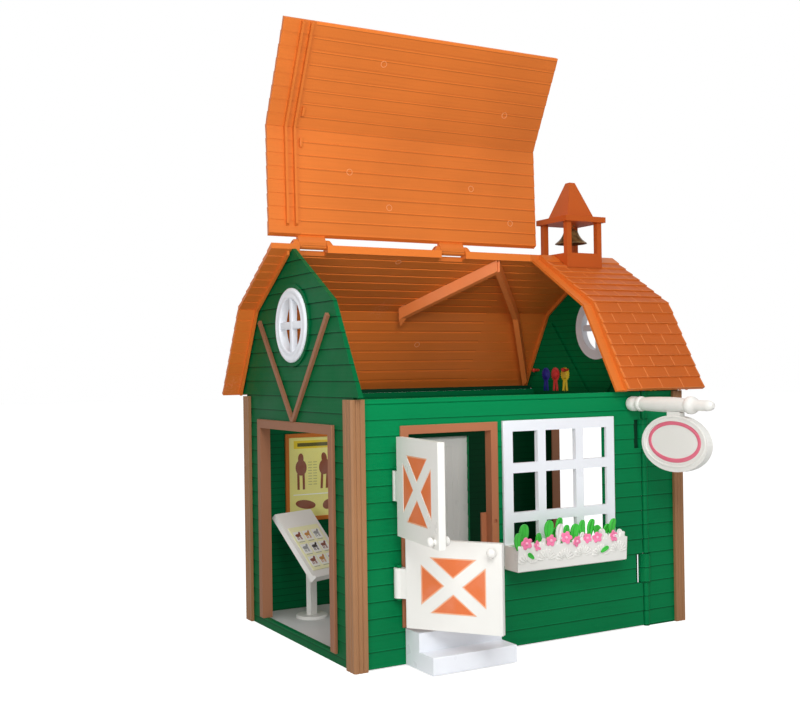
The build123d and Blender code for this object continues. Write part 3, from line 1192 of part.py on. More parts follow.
# ================================================================ inside the barn
def build_poster():
    """Poster board with a raised frame on the inner face of the rear wall."""
    x0 = -HALF_LENGTH + POSTER_LEFT
    width, height = POSTER_SIZE
    with BuildPart() as frame:
        with BuildSketch(Plane.XZ.offset(-INNER_Y + SEAT_GAP)):
            with Locations((x0, POSTER_BOTTOM)):
                Rectangle(width, height, align=Align.MIN)
            with Locations((x0 + POSTER_FRAME, POSTER_BOTTOM + POSTER_FRAME)):
                Rectangle(width - 2 * POSTER_FRAME, height - 2 * POSTER_FRAME, align=Align.MIN,
                          mode=Mode.SUBTRACT)
        extrude(amount=POSTER_DEPTH)
    save(frame.part, "poster_frame")
    with BuildPart() as sheet:
        with BuildSketch(Plane.XZ.offset(-INNER_Y + SEAT_GAP)):
            with Locations((x0 + POSTER_FRAME + SEAT_GAP, POSTER_BOTTOM + POSTER_FRAME + SEAT_GAP)):
                Rectangle(width - 2 * POSTER_FRAME - 2 * SEAT_GAP, height - 2 * POSTER_FRAME - 2 * SEAT_GAP,
                          align=Align.MIN)
        extrude(amount=POSTER_DEPTH / 2)
    save(sheet.part, "poster_sheet")


def build_rosettes():
    """Prize rosettes with two tails, and two round coat pegs, on the inner right gable."""
    wall = INNER_X - SEAT_GAP
    with BuildPart() as rosettes:
        for depth in ROSETTE_DEPTHS:
            with BuildSketch(Plane.YZ.offset(wall)):
                with Locations((depth, ROSETTE_HEIGHT)):
                    RegularPolygon(ROSETTE_RADIUS, 12)
                tails = [(-1.4, 0), (-2.4, -ROSETTE_TAIL), (-1.2, -ROSETTE_TAIL + 1.5), (0, -ROSETTE_TAIL),
                         (1.2, -ROSETTE_TAIL + 1.5), (2.4, -ROSETTE_TAIL), (1.4, 0)]
                Polygon(*[(depth + a, ROSETTE_HEIGHT + b) for a, b in tails], align=None)
            extrude(amount=-1.6)
    save(rosettes.part, "prize_rosettes")
    with BuildPart() as pegs:
        for depth in (PEG_FROM_MIDDLE, HALF_DEPTH - PEG_FROM_REAR):
            profile = [(0, PEG_STEM), (PEG_LENGTH - 4.4, PEG_STEM), (PEG_LENGTH - 3.6, PEG_RADIUS),
                       (PEG_LENGTH - 1.2, PEG_RADIUS), (PEG_LENGTH, PEG_STEM)]
            add(turned(profile, KNOB_SIDES, (wall, depth, PEG_HEIGHT), (-1, 0, 0)))
    save(pegs.part, "coat_pegs")


def build_chart_stand():
    """Lectern: round foot, upright, and a tilted board with a ledge and a chart card."""
    foot = (-HALF_LENGTH + STAND_FROM_LEFT, HALF_DEPTH - STAND_FROM_REAR)
    width, height = STAND_BOARD
    tilt = Plane((foot[0], foot[1], STAND_BOARD_HEIGHT),
                 x_dir=(cos(radians(STAND_TURN)), sin(radians(STAND_TURN)), 0),
                 z_dir=(sin(radians(STAND_TURN)) * cos(radians(STAND_TILT)),
                        -cos(radians(STAND_TURN)) * cos(radians(STAND_TILT)), sin(radians(STAND_TILT))))
    with BuildPart() as stand:
        with BuildSketch(Plane.XY.offset(FLOOR_THICKNESS + SEAT_GAP)):
            with Locations(foot):
                Circle(16.0)
        extrude(amount=3.0)
        chamfer(stand.faces().sort_by(Axis.Z)[-1].edges(), 1.0)
        with BuildSketch(Plane.XY.offset(FLOOR_THICKNESS + 2.0)):
            with Locations(foot):
                Rectangle(9.0, 6.0, rotation=STAND_TURN)
        extrude(amount=STAND_BOARD_HEIGHT - FLOOR_THICKNESS - 3.0)
    with BuildPart() as board:
        with BuildSketch(tilt):
            Rectangle(width, height)
        extrude(amount=STAND_BOARD_THICKNESS, both=True)
        with BuildSketch(tilt.offset(STAND_BOARD_THICKNESS)):
            with Locations((0, -height / 2)):
                Rectangle(width, 3.0, align=(Align.CENTER, Align.MIN))
        extrude(amount=3.0)
    with BuildPart() as chart_stand:
        add(stand.part)
        with BuildSketch(tilt.offset(-STAND_BOARD_THICKNESS)):
            Rectangle(200, 200)
        extrude(amount=200, mode=Mode.SUBTRACT)
        add(board.part)
    save(chart_stand.part, "chart_stand")
    with BuildPart() as card:
        with BuildSketch(tilt.offset(STAND_BOARD_THICKNESS + SEAT_GAP)):
            with Locations((0, 2.0)):
                Rectangle(width - 6.0, height - 10.0)
        extrude(amount=0.8)
    save(card.part, "chart_card")


os.makedirs("parts", exist_ok=True)
build_floor()
build_gables()
build_rear_wall()
build_corner_posts()
build_side_panel()
build_doorway_trims()
build_gable_braces()
build_round_windows()
build_rear_roof()
build_fixed_front_roof()
build_lid()
build_lid_pins()
build_roof_brace()
build_front_panel()
build_door_frame()
build_window_frame()
build_flower_box()
build_flowers()
build_steps()
build_sign()
build_dutch_doors()
build_rear_door()
build_cupola()
build_bell()
build_poster()
build_rosettes()
build_chart_stand()
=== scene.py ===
"""Looks of a toy barn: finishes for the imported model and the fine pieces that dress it."""

import logging
from dataclasses import dataclass, field
from enum import Enum
from math import atan2, cos, hypot, pi, radians, sin, tan
from typing import Callable, Iterable, Sequence

import bpy
from mathutils import Matrix, Vector


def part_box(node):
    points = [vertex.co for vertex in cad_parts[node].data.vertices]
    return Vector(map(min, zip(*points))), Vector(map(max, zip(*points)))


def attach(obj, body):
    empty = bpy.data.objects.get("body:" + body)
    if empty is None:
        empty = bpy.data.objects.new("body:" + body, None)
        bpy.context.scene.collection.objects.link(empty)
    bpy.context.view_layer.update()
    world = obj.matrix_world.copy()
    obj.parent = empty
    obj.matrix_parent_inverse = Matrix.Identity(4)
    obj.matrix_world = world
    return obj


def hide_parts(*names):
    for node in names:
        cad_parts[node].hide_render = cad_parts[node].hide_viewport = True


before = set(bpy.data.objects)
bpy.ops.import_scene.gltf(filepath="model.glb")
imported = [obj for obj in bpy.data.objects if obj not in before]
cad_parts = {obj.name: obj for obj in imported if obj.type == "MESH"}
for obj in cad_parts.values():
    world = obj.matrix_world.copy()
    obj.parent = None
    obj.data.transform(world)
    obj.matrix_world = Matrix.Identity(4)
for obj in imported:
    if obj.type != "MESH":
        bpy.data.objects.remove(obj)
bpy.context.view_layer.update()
LOG = logging.getLogger("barn")
MM = 0.001
WELD = 0.001 * MM  # points closer than this become one
LID_ANGLE = 123.1  # degrees from shut to the lid's open rest
LID_AXIS = (6.31 * MM, 376.5587 * MM)  # y and z of the roof hinge
KNEE_RUN, EAVE_RUN = 85.5 * MM, 133.6 * MM  # how far out from the ridge they lie
LEAF_ANGLES = {"upper": 97.0, "lower": 53.0}  # degrees from shut to where each door leaf stands
# a screen's colour curve: the end and slope of its straight part, the lift and power of the rest
DARK_LIMIT, DARK_SLOPE, CURVE_LIFT, CURVE_POWER = 0.04045, 12.92, 0.055, 2.4

Colour = tuple[float, float, float]
Point = tuple[float, float]
Place = tuple[float, float, float]
Piece = bpy.types.Object
Socket = bpy.types.NodeSocket


# ---------------------------------------------------------------- colours
class Paint(Enum):
    """Colours of the moulded and printed pieces, as they look on a screen (0 to 255)."""

    BARN_GREEN = (0, 116, 66)
    ROOF_ORANGE = (216, 116, 45)
    SHINGLE_ORANGE = (198, 98, 36)
    # roof orange made paler: painted highlight on the shingles' eased edges
    EDGE_HIGHLIGHT_ORANGE = (226, 140, 80)
    # roof orange made lighter: painted highlight on the roof brace
    BRACE_HIGHLIGHT_ORANGE = (230, 126, 60)
    # dark green for pieces that stand for shade: painted shade in the eave slit and the hinge slots
    SHADE_GREEN = (6, 58, 36)
    # barn green made darker: painted shade on the gables
    SHADED_GABLE_GREEN = (0, 96, 52)
    CUPOLA_ORANGE = (190, 88, 32)
    # roof orange made paler: painted highlight on the raised ejector rings
    MARK_HIGHLIGHT_ORANGE = (236, 156, 100)
    POST_BROWN = (156, 112, 76)
    TRIM_BROWN = (150, 102, 74)
    FRAME_BROWN = (172, 108, 74)
    WARM_WHITE = (234, 233, 228)
    COOL_WHITE = (238, 241, 247)
    DOOR_ORANGE = (224, 116, 62)
    DOOR_RIM = (240, 178, 140)
    FLOOR_GREY = (206, 207, 205)
    BELL_BROWN = (128, 104, 62)
    LEAF = (64, 188, 66)
    PETAL = (246, 128, 170)
    PETAL_HEART = (250, 178, 204)
    SIGN_PINK = (226, 108, 132)
    PEG_RED = (206, 58, 44)
    POSTER_OAK = (196, 112, 46)
    POSTER_YELLOW = (232, 226, 136)
    POSTER_BAND = (226, 200, 52)
    POSTER_INK = (92, 88, 40)
    POSTER_RULE = (178, 176, 112)
    POSTER_BROWN = (136, 76, 52)
    CARD_CREAM = (238, 236, 190)
    CARD_WHITE = (240, 240, 234)
    CARD_GREY = (150, 152, 150)
    CARD_TAN = (196, 138, 70)
    CARD_BROWN = (130, 66, 44)
    CARD_BLACK = (54, 48, 46)
    RIBBON_BLUE = (24, 30, 140)
    RIBBON_RED = (214, 40, 36)
    RIBBON_YELLOW = (238, 204, 30)
    RIBBON_GOLD = (226, 190, 60)

    @property
    def linear(self) -> Colour:
        """The colour as linear values, which is what a shader takes."""
        return tuple(to_linear(channel / 255) for channel in self.value)


def to_linear(value: float) -> float:
    """One screen channel from 0 to 1 as a linear value.

    Args:
        value: The channel as a screen shows it.

    Returns:
        The linear value.
    """
    if value <= DARK_LIMIT:
        return value / DARK_SLOPE
    return ((value + CURVE_LIFT) / (1.0 + CURVE_LIFT)) ** CURVE_POWER


def scaled(colour: Colour, factor: float) -> Colour:
    """A lighter or darker colour.

    Args:
        colour: The linear colour.
        factor: What its channels are multiplied by.

    Returns:
        The new colour, kept below one.
    """
    return tuple(min(1.0, channel * factor) for channel in colour)


# ---------------------------------------------------------------- material graph
class Graph:
    """Small wrapper that adds and links the nodes of one material or of the world."""

    def __init__(self, holder: bpy.types.Material | bpy.types.World) -> None:
        """Start with nothing but the output.

        Args:
            holder: The material or the world.
        """
        holder.use_nodes = True
        self.holder = holder
        self.tree = holder.node_tree
        self.tree.nodes.clear()
        self.output = self.add("OutputWorld" if isinstance(holder, bpy.types.World) else "OutputMaterial")

    def add(self, kind: str, settings: dict | None = None, **inputs: object) -> bpy.types.Node:
        """Add a node, set its properties and fill or link its inputs.

        Args:
            kind: The node's type, without the ShaderNode prefix.
            settings: Properties of the node.
            **inputs: Values or sockets, by the input's name with _ for a blank or inN for its place.

        Returns:
            The new node.
        """
        node = self.tree.nodes.new(f"ShaderNode{kind}")
        for key, value in (settings or {}).items():
            setattr(node, key, value)
        for key, value in inputs.items():
            numbered = key[2:].isdigit() and key.startswith("in")
            socket = node.inputs[int(key[2:])] if numbered else node.inputs[key.replace("_", " ")]
            if isinstance(value, Socket):
                self.tree.links.new(value, socket)
            else:
                socket.default_value = value
        return node

    def place(self) -> Socket:
        """Object coordinates, which are metres in the frame's own axes."""
        return self.add("TexCoord").outputs["Object"]

    def parts(self, at: Socket) -> tuple[Socket, ...]:
        """The x, y and z of a point."""
        return tuple(self.add("SeparateXYZ", Vector=at).outputs)

    def noise(self, scale: float, detail: float, at: Socket, rough: float = 0.5, warp: float = 0.0) -> Socket:
        """Noise from 0 to 1.

        Args:
            scale: Cells to the metre.
            detail: Octaves of detail.
            at: The coordinates.
            rough: How strong the finer octaves are.
            warp: How far the noise is warped by itself.

        Returns:
            The factor socket.
        """
        node = self.add("TexNoise", Scale=scale, Detail=detail, Roughness=rough, Distortion=warp, Vector=at)
        return node.outputs["Fac"]

    def span(self, value: Socket, low: float, high: float, to_low: float, to_high: float) -> Socket:
        """Map one span of values to another, clamped.

        Args:
            value: The value to map.
            low: Start of the old span.
            high: End of the old span.
            to_low: Start of the new span.
            to_high: End of the new span.

        Returns:
            The mapped value.
        """
        return self.add("MapRange", in0=value, in1=low, in2=high, in3=to_low, in4=to_high).outputs[0]

    def mix(self, part: object, first: object, second: object) -> Socket:
        """Mix two colours.

        Args:
            part: How much of the second colour.
            first: First colour or socket.
            second: Second colour or socket.

        Returns:
            The mixed colour.
        """
        node = self.tree.nodes.new("ShaderNodeMix")
        node.data_type = "RGBA"
        for index, value in ((0, part), (6, first), (7, second)):
            if isinstance(value, Socket):
                self.tree.links.new(value, node.inputs[index])
            else:
                node.inputs[index].default_value = (*value, 1.0) if isinstance(value, tuple) else value
        return node.outputs[2]

    def product(self, first: object, second: object) -> Socket:
        """Two values multiplied."""
        return self.math("MULTIPLY", first, second)

    def math(self, operation: str, first: object, second: object = 0.0) -> Socket:
        """One arithmetic step.

        Args:
            operation: The operation's name.
            first: First value or socket.
            second: Second value or socket.

        Returns:
            The result.
        """
        return self.add("Math", {"operation": operation}, in0=first, in1=second).outputs[0]

    def show(self, shader: bpy.types.Node) -> None:
        """Link a shader to the output."""
        self.tree.links.new(shader.outputs[0], self.output.inputs[0])

    def finish(self, **inputs: object) -> bpy.types.Material:
        """Add the surface shader and link it to the output.

        Args:
            **inputs: The shader's inputs.

        Returns:
            The finished material.
        """
        self.show(self.add("BsdfPrincipled", **inputs))
        return self.holder


# ---------------------------------------------------------------- finishes
MIDDLE: Point = (0.3, 0.7)  # the part of a noise's range that holds nearly all of it


@dataclass(frozen=True)
class Plastic:
    """Moulded plastic: flow mottling, faint scuffs, varied gloss and a fine mould texture."""

    name: str
    paint: Paint
    roughness: float = 0.42
    gloss: float = 0.30
    mottle: float = 0.08
    scuff: float = 0.10
    mould_cells: float = 700.0
    mould_height: float = 0.35
    bump: float = 0.25
    bump_depth: float = 0.6 * MM
    sheen_cells: float = 26.0
    sheen_swing: Point = (-0.07, 0.08)
    cloud_cells: float = 9.0
    fleck_cells: float = 420.0
    fleck_share: float = 0.25
    scratch_cells: float = 38.0
    scratch_edge: Point = (0.66, 0.74)
    scratch_tone: Point = (1.25, 0.06)
    streak_length: float = 12.0
    streak_edge: Point = (0.25, 0.55)

    def build(self) -> bpy.types.Material:
        """Make the material.

        Returns:
            The material.
        """
        graph = Graph(bpy.data.materials.new(self.name))
        at = graph.place()
        base = self.body(graph, at)
        height = graph.product(graph.noise(self.mould_cells, 2.0, at), self.mould_height)
        relief = self.relief(graph, at)
        if relief is not None:
            height = graph.math("ADD", height, relief)
        bump = graph.add("Bump", Strength=self.bump, Distance=self.bump_depth, Height=height).outputs[0]
        least, most = (self.roughness + swing for swing in self.sheen_swing)
        sheen = graph.span(graph.noise(self.sheen_cells, 4.0, at), *MIDDLE, least, most)
        return graph.finish(Base_Color=self.shade(graph, at, base), Roughness=sheen, Normal=bump,
                            Specular_IOR_Level=self.gloss)

    def body(self, graph: Graph, at: Socket) -> Socket:
        """Mottled and scuffed body colour.

        Args:
            graph: The material's graph.
            at: Object coordinates.

        Returns:
            The colour.
        """
        colour = self.paint.linear
        darker, lighter = scaled(colour, 1.0 - self.mottle), scaled(colour, 1.0 + self.mottle)
        cloud = graph.span(graph.noise(self.cloud_cells, 3.0, at), *MIDDLE, 0.0, 1.0)
        fleck = graph.span(graph.noise(self.fleck_cells, 2.0, at), 0.55, 0.85, 0.0, self.fleck_share)
        base = graph.mix(fleck, graph.mix(cloud, darker, lighter), lighter)
        scratch = graph.span(graph.noise(self.scratch_cells, 8.0, at, 0.72, 1.2), *self.scratch_edge, 0.0, self.scuff)
        factor, lift = self.scratch_tone
        return graph.mix(scratch, base, tuple(min(1.0, channel * factor + lift) for channel in colour))

    def streaks(self, graph: Graph, along: Socket, across: Socket, cells: float) -> Socket:
        """Long streaks like wood grain, from 0 to 1.

        Args:
            graph: The material's graph.
            along: Distance along the streaks.
            across: Distance across them.
            cells: How closely they lie.

        Returns:
            The streaks.
        """
        drawn = graph.add("CombineXYZ", X=graph.product(along, self.streak_length), Y=graph.product(across, cells))
        return graph.noise(1.0, 5.0, drawn.outputs[0], 0.6, 0.3)

    def relief(self, graph: Graph, at: Socket) -> Socket | None:
        """Moulded relief to add to the fine texture; plain plastic has none."""
        return None

    def shade(self, graph: Graph, at: Socket, base: Socket) -> Socket:
        """Last change of the colour; plain plastic has none."""
        return base


@dataclass(frozen=True)
class BoardedPlastic(Plastic):
    """Plastic moulded as lapped boards with wood grain, plus painted shade and painted light on the boards and
    inside.
    """

    first_line: float = 1.5 * MM
    pitch: float = 14.06 * MM
    # strength of the painted shade just under each lap
    lap_shade: float = 0.9
    # tones of the inside: painted shade low in the room, painted light in the loft
    inside: Point = (0.22, 1.3)
    # heights over which the painted shade gives way to the painted loft light
    loft: Point = (205 * MM, 245 * MM)
    # x over which painted light from the left doorway fades out
    lit_end: Point = (-150 * MM, -45 * MM)
    # painted light: the wall grows lighter over these heights towards its top
    top_light_rise: Point = (120 * MM, 225 * MM)
    top_light_share: float = 0.35
    top_light_tone: float = 1.9
    inner: Point = (178.55 * MM, 117.55 * MM)
    grain_cells: float = 380.0
    grain_height: float = 0.8
    grain_share: float = 0.14
    grain_tone: float = 0.5
    # width and tone of the painted shade under each lap
    lap_shade_width: float = 1.7 * MM
    lap_shade_tone: float = 0.16
    # painted highlight along each board's lower lip: width, strength and tone
    lap_highlight_width: float = 1.1 * MM
    lap_highlight_share: float = 0.55
    lap_highlight_tone: float = 1.6
    groove_width: float = 0.9 * MM
    groove_share: float = 0.75
    groove_tone: float = 0.10
    # how much of the painted doorway light the inside gets
    doorway_light_share: float = 0.75

    def relief(self, graph: Graph, at: Socket) -> Socket:
        """Wood grain that runs along the boards."""
        return graph.product(self.grain(graph, at), self.grain_height)

    def grain(self, graph: Graph, at: Socket) -> Socket:
        """Long streaks along the boards, from 0 to 1."""
        x, y, z = graph.parts(at)
        return self.streaks(graph, graph.math("ADD", x, y), z, self.grain_cells)

    def shade(self, graph: Graph, at: Socket, base: Socket) -> Socket:
        """Darken the grain, paint shade under the laps and inside, and paint highlights and light.

        Args:
            graph: The material's graph.
            at: Object coordinates.
            base: The body colour.

        Returns:
            The colour.
        """
        x, y, rise = graph.parts(at)
        colour = self.paint.linear
        streaks = graph.span(self.grain(graph, at), *self.streak_edge, self.grain_share, 0.0)
        deep = self.below_line(graph, rise, self.first_line, self.pitch)
        outside = base
        for amount, tone in (
            (streaks, self.grain_tone),
            # painted shade just under each lap
            (graph.span(deep, 0.0, self.lap_shade_width, self.lap_shade, 0.0), self.lap_shade_tone),
            # painted highlight on each board's lower lip
            (graph.span(deep, self.pitch - self.lap_highlight_width, self.pitch, 0.0, self.lap_highlight_share), self.lap_highlight_tone),
            # painted light towards the top of the wall
            (graph.span(rise, *self.top_light_rise, 0.0, self.top_light_share), self.top_light_tone),
        ):
            outside = graph.mix(amount, outside, scaled(colour, tone))
        # inside faces: painted shade, lifted by painted light near the left doorway and in the loft
        room_tone, loft_tone = self.inside
        doorway = graph.span(x, *self.lit_end, self.doorway_light_share, 0.0)
        room = graph.mix(doorway, scaled(colour, room_tone), colour)
        lit = graph.mix(graph.span(rise, *self.loft, 0.0, 1.0), room, scaled(colour, loft_tone))
        fine = self.below_line(graph, rise, 0.0, self.pitch / 2)
        groove = graph.span(fine, 0.0, self.groove_width, self.groove_share, 0.0)
        within = graph.product(self.less(graph, x, self.inner[0]), self.less(graph, y, self.inner[1]))
        return graph.mix(within, outside, graph.mix(groove, lit, scaled(colour, self.groove_tone)))

    def below_line(self, graph: Graph, rise: Socket, first: float, pitch: float) -> Socket:
        """How far below the next line above a height is.

        Args:
            graph: The material's graph.
            rise: The height.
            first: Height of one line.
            pitch: Distance between two lines.

        Returns:
            The distance.
        """
        lines = graph.math("DIVIDE", graph.math("SUBTRACT", first, rise), pitch)
        return graph.product(graph.math("FRACT", lines), pitch)

    def less(self, graph: Graph, value: Socket, limit: float) -> Socket:
        """1 where a value's size is under a limit, 0 elsewhere."""
        return graph.math("LESS_THAN", graph.math("ABSOLUTE", value), limit)


@dataclass(frozen=True)
class RoofPlastic(Plastic):
    """Roof plastic: plank grain, painted shade at each row's foot and a painted highlight beside it."""

    turn: float = 0.0
    rows: int = 8
    # strength of the painted shade line at each row's foot; the painted highlight beside it follows it
    line: float = 0.6
    plain: Point = (-171 * MM, 92 * MM)
    grain_cells: float = 6.0
    grain_height: float = 0.7
    grain_share: float = 0.12
    grain_tone: float = 0.55
    # where and how dark the painted shade at each row's foot is
    foot_shade_edge: Point = (0.90, 0.97)
    foot_shade_tone: float = 0.26
    # painted highlight at the start of each row, beside the shaded foot
    row_highlight_part: float = 0.12
    row_highlight_gain: float = 1.2
    row_highlight_tone: float = 1.45
    flake_cells: Point = (13.0, 420.0)
    flake_share: float = 0.18
    flake_lift: float = 0.22

    def closed(self, graph: Graph, at: Socket) -> Socket:
        """Turn coordinates back to where the roof part is when it is shut.

        Args:
            graph: The material's graph.
            at: Object coordinates.

        Returns:
            The turned coordinates.
        """
        if not self.turn:
            return at
        return graph.add("VectorRotate", {"rotation_type": "X_AXIS"}, Vector=at, Center=(0.0, *LID_AXIS),
                         Angle=radians(self.turn)).outputs[0]

    def row(self, graph: Graph, at: Socket) -> Socket:
        """Rows counted from the ridge down both slopes.

        Args:
            graph: The material's graph.
            at: Object coordinates.

        Returns:
            The count, whose whole part is the row.
        """
        run = graph.math("ABSOLUTE", graph.parts(self.closed(graph, at))[1])
        upper = graph.span(run, 0.0, KNEE_RUN, 0.0, float(self.rows))
        lower = graph.span(run, KNEE_RUN, EAVE_RUN, 0.0, float(self.rows))
        return graph.math("ADD", upper, lower)

    def relief(self, graph: Graph, at: Socket) -> Socket:
        """Grain that runs along the planks."""
        return graph.product(self.grain(graph, at), self.grain_height)

    def grain(self, graph: Graph, at: Socket) -> Socket:
        """Long streaks along the planks, from 0 to 1."""
        return self.streaks(graph, graph.parts(at)[0], self.row(graph, at), self.grain_cells)

    def shade(self, graph: Graph, at: Socket, base: Socket) -> Socket:
        """Darken the grain, paint shade at each row's foot and paint a highlight beside it.

        Args:
            graph: The material's graph.
            at: Object coordinates.
            base: The body colour.

        Returns:
            The colour.
        """
        colour = self.paint.linear
        streaks = graph.span(self.grain(graph, at), *self.streak_edge, self.grain_share, 0.0)
        part = graph.math("FRACT", self.row(graph, at))
        along = graph.parts(at)[0]
        within = graph.math("GREATER_THAN", along, self.plain[0])
        if not self.turn:
            within = graph.product(within, graph.math("LESS_THAN", along, self.plain[1]))
        # painted shade at the foot of each row
        foot = graph.product(graph.span(part, *self.foot_shade_edge, 0.0, self.line), within)
        # painted highlight beside each row's shaded foot
        strongest = min(1.0, self.line * self.row_highlight_gain)
        row_highlight = graph.product(graph.span(part, 0.0, self.row_highlight_part, strongest, 0.0), within)
        lined = base
        for amount, tone in ((streaks, self.grain_tone), (foot, self.foot_shade_tone), (row_highlight, self.row_highlight_tone)):
            lined = graph.mix(amount, lined, scaled(colour, tone))
        broad, fine = self.flake_cells
        flakes = graph.product(
            graph.span(graph.noise(broad, 2.0, at), *self.scratch_edge, 0.0, self.flake_share),
            graph.span(graph.noise(fine, 4.0, at, 0.7), 0.48, 0.60, 0.0, 1.0))
        return graph.mix(flakes, lined, tuple(min(1.0, channel + self.flake_lift) for channel in colour))


@dataclass(frozen=True)
class AgedBrass:
    """Dull brown-gold paint on the bell, rubbed brighter in places."""

    name: str
    paint: Paint
    worn: Point = (0.55, 1.5)
    cloud_cells: float = 160.0
    bump_cells: float = 600.0
    bump: float = 0.3
    bump_depth: float = 0.5 * MM
    roughness: Point = (0.52, 0.34)
    metallic: float = 0.45

    def build(self) -> bpy.types.Material:
        """Make the material.

        Returns:
            The material.
        """
        graph = Graph(bpy.data.materials.new(self.name))
        at = graph.place()
        cloud = graph.noise(self.cloud_cells, 6.0, at, 0.65)
        dull, rubbed = (scaled(self.paint.linear, tone) for tone in self.worn)
        base = graph.mix(graph.span(cloud, 0.35, 0.65, 0.0, 1.0), dull, rubbed)
        height = graph.noise(self.bump_cells, 3.0, at)
        bump = graph.add("Bump", Strength=self.bump, Distance=self.bump_depth, Height=height).outputs[0]
        sheen = graph.span(cloud, *MIDDLE, *self.roughness)
        return graph.finish(Base_Color=base, Roughness=sheen, Normal=bump, Metallic=self.metallic)


@dataclass(frozen=True)
class Sprayed:
    """Sprayed or printed colour that thins out in patches over a fine grain."""

    name: str
    paint: Paint
    thin: float = 0.22
    ground: float = 0.8
    ground_share: float = 0.35
    cloud_cells: float = 45.0
    grain_cells: float = 900.0
    grain_share: float = 0.25
    grain_tone: float = 0.8
    bump: float = 0.2
    bump_depth: float = 0.4 * MM
    roughness: Point = (0.42, 0.56)
    gloss: float = 0.3

    def build(self) -> bpy.types.Material:
        """Make the material.

        Returns:
            The material.
        """
        graph = Graph(bpy.data.materials.new(self.name))
        at = graph.place()
        colour = self.paint.linear
        pale = tuple(channel + (self.ground - channel) * self.ground_share for channel in colour)
        cloud, grain = graph.noise(self.cloud_cells, 4.0, at), graph.noise(self.grain_cells, 3.0, at)
        base = graph.mix(graph.span(cloud, 0.42, 0.72, 0.0, self.thin), colour, pale)
        base = graph.mix(graph.span(grain, 0.5, 0.8, 0.0, self.grain_share), base, scaled(colour, self.grain_tone))
        bump = graph.add("Bump", Strength=self.bump, Distance=self.bump_depth, Height=grain).outputs[0]
        sheen = graph.span(cloud, *MIDDLE, *self.roughness)
        return graph.finish(Base_Color=base, Roughness=sheen, Normal=bump, Specular_IOR_Level=self.gloss)


@dataclass
class Finishes:
    """Every material of the barn, made once and looked up by name."""

    made: dict[str, bpy.types.Material] = field(default_factory=dict)

    def build(self) -> None:
        """Make all the finishes."""
        for finish in (
            BoardedPlastic("green_boards", Paint.BARN_GREEN, 0.40, 0.09),
            # darker green: painted shade on the gables
            BoardedPlastic("green_gable", Paint.SHADED_GABLE_GREEN, 0.44, 0.06, first_line=7.1 * MM, top_light_share=0.0),
            RoofPlastic("orange_roof", Paint.ROOF_ORANGE, 0.40, 0.22),
            RoofPlastic("orange_lid", Paint.ROOF_ORANGE, 0.40, 0.22, turn=LID_ANGLE, line=0.45),
            RoofPlastic("orange_shingle", Paint.SHINGLE_ORANGE, 0.5, 0.12, line=0.0),
            # painted highlight on the shingles' eased edges
            Plastic("orange_edge_highlight", Paint.EDGE_HIGHLIGHT_ORANGE, 0.45, 0.2),
            Plastic("shade_green", Paint.SHADE_GREEN, 0.5, 0.1),
            Plastic("orange_plain", Paint.ROOF_ORANGE, 0.40, 0.22),
            # painted highlight on the roof brace
            Plastic("orange_brace", Paint.BRACE_HIGHLIGHT_ORANGE, 0.40, 0.3),
            Plastic("orange_mark_highlight", Paint.MARK_HIGHLIGHT_ORANGE, 0.36, 0.3),
            Plastic("cupola_orange", Paint.CUPOLA_ORANGE, 0.45, 0.12),
            Plastic("post_brown", Paint.POST_BROWN, 0.44, 0.25),
            Plastic("trim_brown", Paint.TRIM_BROWN, 0.46, 0.2),
            Plastic("frame_brown", Paint.FRAME_BROWN, 0.44, 0.25),
            Plastic("poster_oak", Paint.POSTER_OAK, 0.44, 0.2),
            Plastic("warm_white", Paint.WARM_WHITE, 0.34, 0.4, 0.03, 0.05),
            Plastic("cool_white", Paint.COOL_WHITE, 0.34, 0.4, 0.03, 0.05),
            Plastic("floor_grey", Paint.FLOOR_GREY, 0.5, 0.2, 0.08, 0.12),
            Plastic("peg_red", Paint.PEG_RED),
            Plastic("leaf_green", Paint.LEAF, 0.4, 0.3, 0.18),
            Plastic("petal_pink", Paint.PETAL, 0.38, 0.3, 0.12),
            Plastic("petal_heart", Paint.PETAL_HEART, 0.38, 0.3, 0.08, 0.05),
            *(Sprayed(paint.name.lower(), paint) for paint in (
                Paint.DOOR_ORANGE, Paint.DOOR_RIM, Paint.SIGN_PINK, Paint.POSTER_YELLOW, Paint.POSTER_BAND,
                Paint.POSTER_INK, Paint.POSTER_RULE, Paint.POSTER_BROWN, Paint.CARD_CREAM, Paint.CARD_WHITE,
                Paint.CARD_GREY, Paint.CARD_TAN, Paint.CARD_BROWN, Paint.CARD_BLACK, Paint.RIBBON_BLUE,
                Paint.RIBBON_RED, Paint.RIBBON_YELLOW, Paint.RIBBON_GOLD)),
            AgedBrass("bell_brass", Paint.BELL_BROWN),
        ):
            self.made[finish.name] = finish.build()
        LOG.info("finishes: %d", len(self.made))

    def put(self, piece: Piece, name: str) -> None:
        """Give a whole piece one finish.

        Args:
            piece: The piece.
            name: The finish.
        """
        piece.data.materials.clear()
        piece.data.materials.append(self.made[name])


# ---------------------------------------------------------------- modelling steps
def free_selection() -> None:
    """Leave edit mode and select nothing."""
    if bpy.context.object and bpy.context.object.mode != "OBJECT":
        close_edit()
    bpy.ops.object.select_all(action="DESELECT")


def activate(piece: Piece) -> None:
    """Leave edit mode and make a piece the only selected one.

    Args:
        piece: The piece.
    """
    free_selection()
    piece.select_set(True)
    bpy.context.view_layer.objects.active = piece


def open_edit() -> None:
    """Enter edit mode on the active piece and select all of it."""
    bpy.ops.object.mode_set(mode="EDIT")
    bpy.ops.mesh.select_all(action="SELECT")


def close_edit() -> None:
    """Go back to object mode."""
    bpy.ops.object.mode_set(mode="OBJECT")


